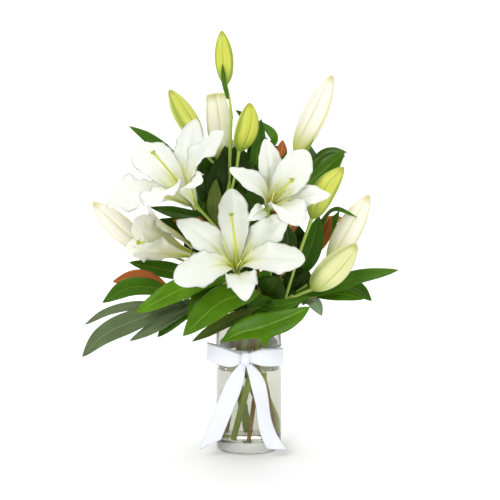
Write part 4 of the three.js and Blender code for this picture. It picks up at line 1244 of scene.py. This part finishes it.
# Each single leaf, or the blades of a divided one: the points of its midrib, half its width, the
# way its face looks, its outline, its kind and its tone from dark to light.
LEAVES = {
    "leaf_pale_strap": [
        ([(-32, -28, 270), (-74, -50, 266), (-168, -72, 223)],
         18, (0.1, -0.75, 0.66), "strap", "philodendron", 0.95),
    ],
    "leaf_bright_broad": [
        ([(16, -44, 250), (-39, -78, 241), (-96, -105, 195)],
         23, (-0.1, -0.75, 0.66), "broad", "philodendron", 0.6),
    ],
    "leaf_shaded_broad": [
        ([(-24, -32, 252), (-62, -54, 247), (-91, -68, 202)],
         17, (-0.5, -0.8, 0.35), "broad", "philodendron", 0.2),
    ],
    "leaf_olive_tip": [
        ([(14, -38, 225), (-34, -57, 205), (-84, -81, 181)],
         11, (0, -0.7, 0.7), "lance", "olive", 0.4),
    ],
    "leaf_long_right": [
        ([(72, -22, 238), (133, -18, 256), (166, -15, 266), (228, -10, 277)],
         13, (-0.1, -0.8, 0.6), "strap", "lily", 0.5),
    ],
    "leaf_dark_left": [
        ([(-68, 14, 259), (-129, 25, 271), (-184, 25, 283)],
         14, (0, -0.8, 0.6), "lance", "philodendron", 0.15),
    ],
    "leaf_lobed_front": [
        ([(-41, -80, 180), (-14, -82, 194), (16, -86, 203), (58, -88, 220), (90, -92, 236)],
         24, (0, -0.8, 0.6), "lobed", "philodendron", 0.6),
    ],
    "leaf_divided_left": [
        ([(-36, -12, 234), (-96, -21, 227), (-156, -29, 215)], 6, (0, -0.8, 0.6), "lance", "monstera", 0.4),
        ([(-118, -24, 226), (-170, -31, 226), (-212, -36, 217), (-247, -40, 198)],
         8, (0, -0.8, 0.6), "lobe", "monstera", 0.5),
        ([(-98, -23, 227), (-160, -38, 209), (-218, -50, 184), (-249, -58, 153)],
         17, (0, -0.9, 0.4), "lobe", "monstera", 0.4),
        ([(-76, -19, 226), (-124, -34, 203), (-179, -48, 175)], 9, (0, -0.9, 0.4), "lobe", "monstera", 0.7),
        ([(-54, -16, 231), (-104, -26, 209), (-138, -34, 178)],
         11, (0, -0.9, 0.4), "lobe", "philodendron", 0.0),
    ],
}

TWIG_GIRTH = profile([(0, 2.2), (0.5, 1.8), (0.95, 1.3), (1, 0.3)])

# Sprigs: a twig, and along it leaves of (fraction along the twig, the rest of the midrib, half
# the width, the way the face looks, the outline, the kind, the tone).
SPRIGS = {
    "sprig_left": ([(-35, 3, 236), (-84, 0, 240), (-124, 2, 245)], [
        (0.95, [(-180, -12, 250), (-221, -24, 229)], 15, (0, -0.8, 0.6), "broad", "magnolia", 0.75),
        (0.93, [(-167, 8, 262), (-208, 6, 256)], 13, (0, 1, -0.2), "lance", "magnolia", 0.5),
        (0.45, [(-108, -30, 244), (-154, -44, 219)], 12, (0, -0.75, 0.66), "lance", "philodendron", 0.35),
        (0.6, [(-118, 44, 262), (-166, 84, 258)], 15, (-0.2, 0.5, 0.8), "lance", "magnolia", 0.4),
    ]),
    "sprig_right_low": ([(62, -8, 224), (98, -4, 234), (126, 2, 240)], [
        (0.95, [(157, 10, 247), (189, 8, 226)], 14, (0.3, -0.8, 0.5), "lance", "magnolia", 0.5),
        (0.6, [(138, -14, 240), (177, -16, 234)], 11, (0, -0.8, 0.6), "lance", "philodendron", 0.3),
        (0.3, [(98, -40, 234), (109, -60, 216)], 12, (-0.2, 0.8, -0.5), "broad", "sage", 0.4),
        (0.5, [(130, 46, 238), (164, 92, 214)], 16, (0.2, 0.5, 0.8), "broad", "magnolia", 0.4),
        (0.05, [(78, -2, 244), (92, 0, 274)], 17, (0, -1, 0.2), "broad", "shade", 0.6),
    ]),
    "sprig_right": ([(70, 18, 252), (86, 20, 276), (98, 22, 300)], [
        (0.2, [(95, 4, 312), (107, 2, 358)], 17, (0.1, -1, 0.1), "broad", "lily", 0.2),
        (0.1, [(68, 14, 270), (58, 10, 302)], 18, (0.1, -1, 0.1), "broad", "shade", 0.6),
        (0.75, [(114, 24, 318), (126, 18, 355)], 8, (0, 1, 0.1), "lance", "magnolia", 0.6),
        (0.3, [(80, 20, 296), (76, 16, 342)], 15, (0, -1, 0.1), "broad", "shade", 0.8),
        (0.9, [(122, 34, 332), (139, 30, 362)], 9, (0.2, -1, 0.2), "lance", "lily", 0.4),
        (0.85, [(118, 60, 330), (148, 90, 344)], 16, (0.4, 0.8, 0.3), "broad", "magnolia", 0.4),
        (0.6, [(111, 8, 344), (130, -10, 369), (163, -32, 360)],
         6, (-0.3, -0.6, 0.7), "lance", "lily", 0.4),
    ]),
    "sprig_upper_right": ([(68, 40, 378), (80, 46, 400), (94, 50, 420)], [
        (0.2, [(110, 40, 418), (147, 34, 453)], 22, (-0.3, -0.8, 0.5), "broad", "magnolia", 0.8),
        (0.9, [(125, 58, 436), (149, 52, 444)], 8, (-0.2, -0.9, 0.4), "lance", "magnolia", 0.4),
        (0.6, [(112, 46, 447), (130, 44, 454), (151, 34, 451)],
         7, (-0.1, -0.6, 0.8), "lance", "magnolia", 0.4),
        (0.7, [(92, 76, 438), (96, 100, 458)], 16, (0.2, -0.9, 0.3), "broad", "magnolia", 0.2),
        (0.4, [(112, 78, 388), (142, 104, 400)], 17, (0.3, 0.7, 0.6), "broad", "magnolia", 0.4),
    ]),
    "sprig_top": ([(4, 46, 392), (12, 38, 430), (20, 32, 460)], [
        (0.3, [(14, 8, 457), (19, 0, 505)], 12, (0.2, -1, 0.1), "lance", "lily", 0.3),
        (0.9, [(38, 18, 474), (15, 8, 502)], 8, (0.5, -0.85, 0.2), "lance", "lily", 0.95),
        (0.7, [(46, 26, 445), (52, 20, 472)], 11, (0, 1, 0.2), "lance", "magnolia", 0.5),
        (0.8, [(6, 44, 492), (-20, 38, 516)], 9, (-0.2, -1, 0.3), "lance", "lily", 0.1),
        (0.5, [(24, 70, 444), (28, 94, 466)], 15, (0, -0.9, 0.4), "broad", "magnolia", 0.2),
        (0.1, [(-8, 33, 413), (-14, 28, 450)], 13, (0.1, -1, 0.1), "broad", "lily", 0.1),
        (0.1, [(-4, 34, 410), (-12, 26, 424), (-20, 24, 462)],
         22, (-0.1, -1, 0.1), "stalked", "shade", 0.6),
        (0.3, [(10, 30, 420), (16, 22, 446), (14, 20, 484)], 20, (0.1, -1, 0.1), "stalked", "shade", 0.8),
        (0.4, [(26, 34, 430), (40, 30, 444), (56, 26, 462)], 16, (0.1, -1, 0.3), "stalked", "shade", 0.9),
        (0.02, [(-6, 34, 386), (-18, 24, 402)], 15, (0, -1, 0.2), "broad", "magnolia", 0.0),
        (0.02, [(-14, 34, 399), (-30, 32, 406)], 11, (0, -1, 0.1), "broad", "shade", 0.7),
        (0.02, [(16, 34, 384), (34, 30, 376)], 12, (0, -1, 0.1), "broad", "shade", 0.7),
    ]),
    "sprig_centre": ([(-44, 18, 300), (-50, 18, 340), (-50, 16, 384)], [
        (0.6, [(-98, 14, 358), (-150, 18, 369)], 11, (0, -0.7, 0.7), "lance", "magnolia", 0.3),
        (0.45, [(-51, 6, 376), (-49, 2, 415)], 12, (-0.3, -1, 0), "lance", "olive", 0.8),
        (0.95, [(-46, 4, 418), (-38, 2, 452)], 15, (0.1, -1, 0.1), "broad", "shade", 0.3),
        (0.3, [(-62, 4, 330), (-76, 2, 358)], 9, (0, 1, 0.2), "lance", "magnolia", 0.4),
        (0.5, [(-36, 24, 372), (-48, 22, 404), (-56, 22, 444)],
         22, (-0.2, -1, 0.1), "stalked", "shade", 0.5),
        (0.8, [(-34, 30, 396), (-30, 28, 420), (-36, 25, 462)],
         18, (0.3, -1, 0.1), "stalked", "shade", 0.7),
        (0.1, [(-52, 22, 310), (-72, 22, 330), (-98, 18, 356)],
         17, (0, -0.9, 0.5), "stalked", "shade", 0.8),
        (0.15, [(-104, 22, 338), (-140, 18, 350)], 14, (0, -0.9, 0.5), "broad", "shade", 0.7),
        (0.4, [(-90, 12, 346), (-115, 8, 350)], 9, (0, 1, 0.2), "lance", "magnolia", 0.5),
        (0.2, [(-60, 30, 320), (-84, 34, 330), (-116, 30, 322)],
         18, (0, -0.9, 0.5), "stalked", "shade", 0.6),
        (0.7, [(-58, 26, 366), (-62, 28, 382), (-60, 26, 412)], 16, (0, -1, 0.2), "stalked", "shade", 0.8),
        (0.5, [(-56, 26, 340), (-66, 28, 352), (-72, 24, 378)],
         14, (0, -1, 0.2), "stalked", "philodendron", 0.1),
        (0.55, [(-54, 14, 362), (-60, 10, 386)], 11, (0, -1, 0.2), "broad", "magnolia", 0.0),
    ]),
    "sprig_inner": ([(11, 5, 232), (18, 4, 258), (30, -2, 284)], [
        (0.3, [(22, -18, 262), (28, -28, 284)], 13, (0, -1, 0.1), "broad", "lily", 0.4),
        (0.9, [(58, -8, 312), (56, -14, 350)], 15, (0, -1, 0.1), "broad", "magnolia", 0.0),
        (0.95, [(12, -2, 320), (4, 2, 356)], 13, (0, -1, 0.1), "lance", "magnolia", 0.1),
        (0.2, [(34, 14, 262), (48, 16, 284), (60, 14, 330)], 25, (0.1, -1, 0.1), "stalked", "shade", 0.7),
        (0.5, [(44, 6, 280), (64, 6, 300), (86, 6, 312)], 20, (0.2, -1, 0.1), "stalked", "shade", 0.5),
        (0.1, [(22, -14, 238), (34, -24, 250), (46, -26, 270)], 22, (0, -1, 0.2), "stalked", "shade", 0.8),
        (0.2, [(4, 14, 262), (-8, 20, 290), (-26, 22, 312)], 24, (0, -1, 0.1), "stalked", "shade", 0.6),
        (0.6, [(24, 14, 300), (16, 18, 330), (6, 18, 362)], 24, (0, -1, 0.1), "stalked", "shade", 0.5),
        (0.8, [(36, 10, 300), (34, 10, 330), (30, 10, 366)], 22, (0, -1, 0.1), "stalked", "shade", 0.4),
        (0.05, [(-6, -16, 228), (-24, -24, 238), (-44, -22, 256)],
         20, (0, -1, 0.2), "stalked", "shade", 0.7),
        (0.02, [(30, -6, 224), (52, -12, 226), (82, -16, 240)], 18, (0, -1, 0.3), "stalked", "shade", 0.8),
        (0.01, [(-2, -26, 218), (6, -38, 222), (44, -42, 232)],
         20, (0, -1, 0.3), "stalked", "philodendron", 0.1),
        (0.9, [(16, 12, 340), (8, 10, 366), (0, 10, 398)], 15, (0, -1, 0.1), "stalked", "shade", 0.9),
        (0.02, [(32, -48, 229), (60, -51, 233), (94, -54, 245)],
         9, (0, -0.9, 0.4), "strap", "philodendron", 0.2),
        (0.3, [(-8, -6, 256), (-34, -8, 284)], 16, (0, -1, 0.1), "broad", "shade", 0.7),
        (0.4, [(48, -4, 238), (56, -6, 270)], 17, (0, -1, 0.1), "broad", "shade", 0.7),
    ]),
    "sprig_back_left": ([(-73, 49, 304), (-86, 52, 366), (-96, 44, 420)], [
        (0.95, [(-136, 42, 459), (-182, 30, 492)], 11, (0, -0.8, 0.6), "lance", "lily", 0.35),
        (0.2, [(-130, 84, 330), (-172, 110, 318)], 17, (-0.3, 0.6, 0.7), "broad", "magnolia", 0.5),
        (0.02, [(-74, 40, 300), (-100, 34, 314)], 17, (0, -1, 0.2), "broad", "shade", 0.6),
        (0.5, [(-92, 94, 390), (-104, 128, 410)], 18, (0, -0.5, 0.8), "broad", "magnolia", 0.2),
        (0.8, [(-132, 74, 410), (-176, 88, 420)], 15, (-0.3, 0.6, 0.7), "lance", "magnolia", 0.5),
        (0.7, [(-60, 72, 430), (-40, 90, 474)], 16, (0, -0.9, 0.4), "broad", "magnolia", 0.0),
    ]),
    "sprig_back_right": ([(44, 22, 262), (52, 60, 300), (50, 78, 350)], [
        (0.3, [(84, 92, 300), (112, 124, 286)], 18, (0.3, 0.6, 0.7), "broad", "magnolia", 0.5),
        (0.6, [(70, 104, 350), (80, 134, 372)], 18, (0.2, 0.8, 0.6), "broad", "magnolia", 0.4),
        (0.95, [(30, 98, 396), (14, 108, 440)], 16, (-0.1, 0.95, 0.3), "broad", "magnolia", 0.5),
        (0.5, [(10, 98, 326), (-18, 126, 340)], 18, (-0.2, 0.8, 0.6), "broad", "magnolia", 0.3),
    ]),
    "sprig_back_low": ([(-20, 38, 212), (-22, 56, 244), (-30, 70, 284)], [
        (0.2, [(-64, 84, 230), (-104, 110, 206)], 20, (-0.2, 0.5, 0.8), "broad", "philodendron", 0.5),
        (0.3, [(8, 92, 236), (20, 126, 206)], 20, (0, 0.6, 0.8), "broad", "philodendron", 0.5),
        (0.15, [(34, 74, 224), (78, 96, 196)], 16, (0.2, 0.5, 0.8), "lance", "philodendron", 0.3),
        (0.6, [(-70, 106, 280), (-96, 134, 270)], 18, (-0.2, 0.6, 0.7), "broad", "magnolia", 0.4),
        (0.9, [(-50, 100, 318), (-62, 124, 352)], 17, (-0.1, 0.9, 0.4), "broad", "magnolia", 0.5),
    ]),
}


def leaf_finish(name):
    """The material of one side of a leaf."""
    return shared_material(name, felt_material if name == "magnolia_leaf_felt" else leaf_material, name)


class Foliage:
    """Gathers leaves into one mesh and the materials they need."""

    def __init__(self):
        self.bm = bmesh.new()
        self.materials = []

    def slot(self, material):
        """The number of the material's slot, which it is given the first time it is asked for."""
        if material not in self.materials:
            self.materials.append(material)
        return self.materials.index(material)

    def leaf(self, settings, points, half, up, outline, kind, tone, seed):
        """One leaf: folded a little along its midrib, waved at its edge, thin at the margin."""
        chance = random.Random(seed)
        waves, phase, phase2 = chance.uniform(1.5, 2.6), chance.uniform(0, 6.28), chance.uniform(0, 6.28)
        width = LEAF_WIDTH.get(outline, lambda t: 1)
        thick, rib = settings.thickness / MM, settings.rib / MM

        def lift(a, t, w):
            fold = 0.22 * w * (math.sqrt(a * a + 0.015) - 0.122)
            swing = math.sin(2 * math.pi * waves * t + (phase if a > 0 else phase2))
            wave = 0.07 * w * abs(a) ** 2.5 * swing
            belly = 0.05 * w * math.sin(math.pi * abs(a))
            return fold + wave + belly + 0.5 * noise.noise(Vector((a * 1.3, t * 3.5, seed)))

        def thickness(a, t):
            return thick * (0.4 + 0.6 * (1 - a * a)) + rib * hump(a, 0.07) * (1 - 0.7 * t)

        blade(
            self.bm, midrib(points, up, twist=chance.uniform(-9, 9)), lambda t: half * width(t), lift,
            thickness, across=6, along=36, tone=tone,
            slots=[self.slot(leaf_finish(side)) for side in LEAF_KINDS[kind]],
            edges=(LOBED_UPPER, LOBED_LOWER) if outline == "lobed" else None,
        )

    def done(self, node):
        """Makes the leaves one piece, which stands for the CAD node."""
        finish_piece(node + "_fresh", self.bm, self.materials, [node], "leaf")


class BOUQUET_OT_leaves(bpy.types.Operator):
    """The single and the divided leaves round the mouth of the vase"""
    bl_idname = "bouquet.leaves"
    bl_label = "Single leaves"

    def execute(self, context):
        settings = context.scene.bouquet_leaves
        for order, (node, rows) in enumerate(LEAVES.items()):
            foliage = Foliage()
            for k, row in enumerate(rows):
                foliage.leaf(settings, *row, seed=order * 10 + k)
            foliage.done(node)
        return {"FINISHED"}


class BOUQUET_OT_sprigs(bpy.types.Operator):
    """The sprigs: leaves growing along a twig"""
    bl_idname = "bouquet.sprigs"
    bl_label = "Sprigs"

    def execute(self, context):
        settings = context.scene.bouquet_leaves
        bark = shared_material("shrub_bark", bark_material, context.scene.bouquet_stems)
        for order, (node, (twig, rows)) in enumerate(SPRIGS.items()):
            foliage = Foliage()
            line = smooth_line(twig)
            tube(
                foliage.bm, midrib(twig, (0.2, 0.4, 0.9)), TWIG_GIRTH, sides=10, along=24,
                slot=foliage.slot(bark),
            )
            for k, (share, points, *row) in enumerate(rows):
                foliage.leaf(settings, [line(share)[0], *points], *row, seed=200 + order * 10 + k)
            foliage.done(node)
        return {"FINISHED"}


# ---------------------------------------------------------------- stage

# The stage is in metres, and the camera's tilt in degrees from straight down.
FLOOR_DEPTH = 3
CAMERA_SIDE, CAMERA_HEIGHT, CAMERA_TILT = 0.0021, 0.662, 81.2
# Each light: where it stands, where it points, its width and its power in watts.
LIGHTS = [
    ("key_light", (-1.2, -2.2, 1.9), (0, 0, 0.3), 1.2, 38),
    ("fill_light", (1.9, -1.6, 0.9), (0, 0, 0.3), 1.2, 15),
    ("backdrop_light", (0, 1.4, 2.6), (0, 3.2, 0.6), 2.4, 70),
]


class BOUQUET_OT_stage(bpy.types.Operator):
    """A plain pale floor that curves up behind, soft studio light and the camera"""
    bl_idname = "bouquet.stage"
    bl_label = "Stage"

    def execute(self, context):
        settings = context.scene.bouquet_stage
        scene = context.scene
        bm = bmesh.new()
        bmesh.ops.create_grid(bm, x_segments=1, y_segments=1, size=FLOOR_DEPTH)
        far = [vert for vert in bm.verts if vert.co.y > 0]
        near = [vert for vert in bm.verts if vert.co.y < 0]
        # Wide to both sides and towards the camera, so that the floor fills any view.
        bmesh.ops.translate(bm, verts=near, vec=(0, -37, 0))
        bmesh.ops.scale(bm, verts=bm.verts, vec=(13, 1, 1))
        edge = [e for e in bm.edges if all(vert in far for vert in e.verts)]
        sweep = bmesh.ops.spin(
            bm, geom=far + edge, cent=(0, FLOOR_DEPTH, 1), axis=(1, 0, 0), dvec=(0, 0, 0), angle=math.pi / 2,
            steps=24,
        )["geom_last"]
        end = [e for e in sweep if isinstance(e, bmesh.types.BMEdge)]
        wall = bmesh.ops.extrude_edge_only(bm, edges=end)["geom"]
        top = [vert for vert in wall if isinstance(vert, bmesh.types.BMVert)]
        bmesh.ops.translate(bm, verts=top, vec=3 * UP)
        for face in bm.faces:
            face.smooth = True
        mesh = bpy.data.meshes.new("studio_floor")
        bm.to_mesh(mesh)
        bm.free()
        mesh.materials.append(floor_material(settings))
        floor = bpy.data.objects.new("studio_floor", mesh)
        # A hair below the vase, so that the two faces don't share a plane.
        floor.location.z = -0.4 * MM
        scene.collection.objects.link(floor)

        scene.world = bpy.data.worlds.new("soft_studio")
        scene.world.use_nodes = True
        tree = scene.world.node_tree
        # The room is bright overhead and dim behind the camera, which leaves the leaves their own colour.
        facing = {0: add_node(tree, "TexCoord")["Generated"], 1: (0, 0.45, 0.9)}
        height = add_node(tree, "VectorMath", facing, operation="DOT_PRODUCT")["Value"]
        sky = add_node(tree, "ValToRGB", {0: height})[0]
        dim, bright = sky.node.color_ramp.elements
        dim.color = linear("#969a9c")
        bright.color, bright.position = linear("#ffffff"), 0.75
        background = tree.nodes["Background"]
        plug(background.inputs["Color"], sky)
        plug(background.inputs["Strength"], 0.85)
        for name, spot, aim, size, power in LIGHTS:
            data = bpy.data.lights.new(name, "AREA")
            data.size, data.energy = size, power
            light = bpy.data.objects.new(name, data)
            light.location = spot
            light.rotation_euler = (Vector(aim) - Vector(spot)).to_track_quat("-Z", "Y").to_euler()
            scene.collection.objects.link(light)

        data = bpy.data.cameras.new("camera")
        data.lens = settings.lens
        data.sensor_width = 36
        camera = bpy.data.objects.new("camera", data)
        camera.location = (CAMERA_SIDE, -settings.distance, CAMERA_HEIGHT)
        camera.rotation_euler = (math.radians(CAMERA_TILT), 0, 0)
        scene.collection.objects.link(camera)
        scene.camera = camera
        scene.view_settings.view_transform = "Standard"
        return {"FINISHED"}


# ---------------------------------------------------------------- add-on

class BOUQUET_PT_panel(bpy.types.Panel):
    """Lists the bouquet's pieces and their settings"""
    bl_idname = "BOUQUET_PT_panel"
    bl_label = "Lilies in a vase"
    bl_space_type = "VIEW_3D"
    bl_region_type = "UI"
    bl_category = "Bouquet"

    def draw(self, context):
        for group in GROUPS:
            box = self.layout.box()
            for name in GROUPS[group].__annotations__:
                box.prop(getattr(context.scene, group), name)
        for operator in OPERATORS:
            self.layout.operator(operator.bl_idname)


GROUPS = {
    "bouquet_vase": VaseSettings,
    "bouquet_ribbon": RibbonSettings,
    "bouquet_lilies": LilySettings,
    "bouquet_buds": BudSettings,
    "bouquet_leaves": LeafSettings,
    "bouquet_stems": StemSettings,
    "bouquet_stage": StageSettings,
}
OPERATORS = [
    BOUQUET_OT_stage, BOUQUET_OT_vase, BOUQUET_OT_water, BOUQUET_OT_stems, BOUQUET_OT_ribbon,
    BOUQUET_OT_lilies, BOUQUET_OT_buds, BOUQUET_OT_leaves, BOUQUET_OT_sprigs,
]


def register():
    for group, settings in GROUPS.items():
        bpy.utils.register_class(settings)
        setattr(bpy.types.Scene, group, PointerProperty(type=settings))
    for each in (*OPERATORS, BOUQUET_PT_panel):
        bpy.utils.register_class(each)


def unregister():
    for each in (BOUQUET_PT_panel, *reversed(OPERATORS)):
        bpy.utils.unregister_class(each)
    for group, settings in reversed(GROUPS.items()):
        delattr(bpy.types.Scene, group)
        bpy.utils.unregister_class(settings)


def main():
    register()
    for operator in OPERATORS:
        group, name = operator.bl_idname.split(".")
        getattr(getattr(bpy.ops, group), name)()


if __name__ == "__main__":
    main()
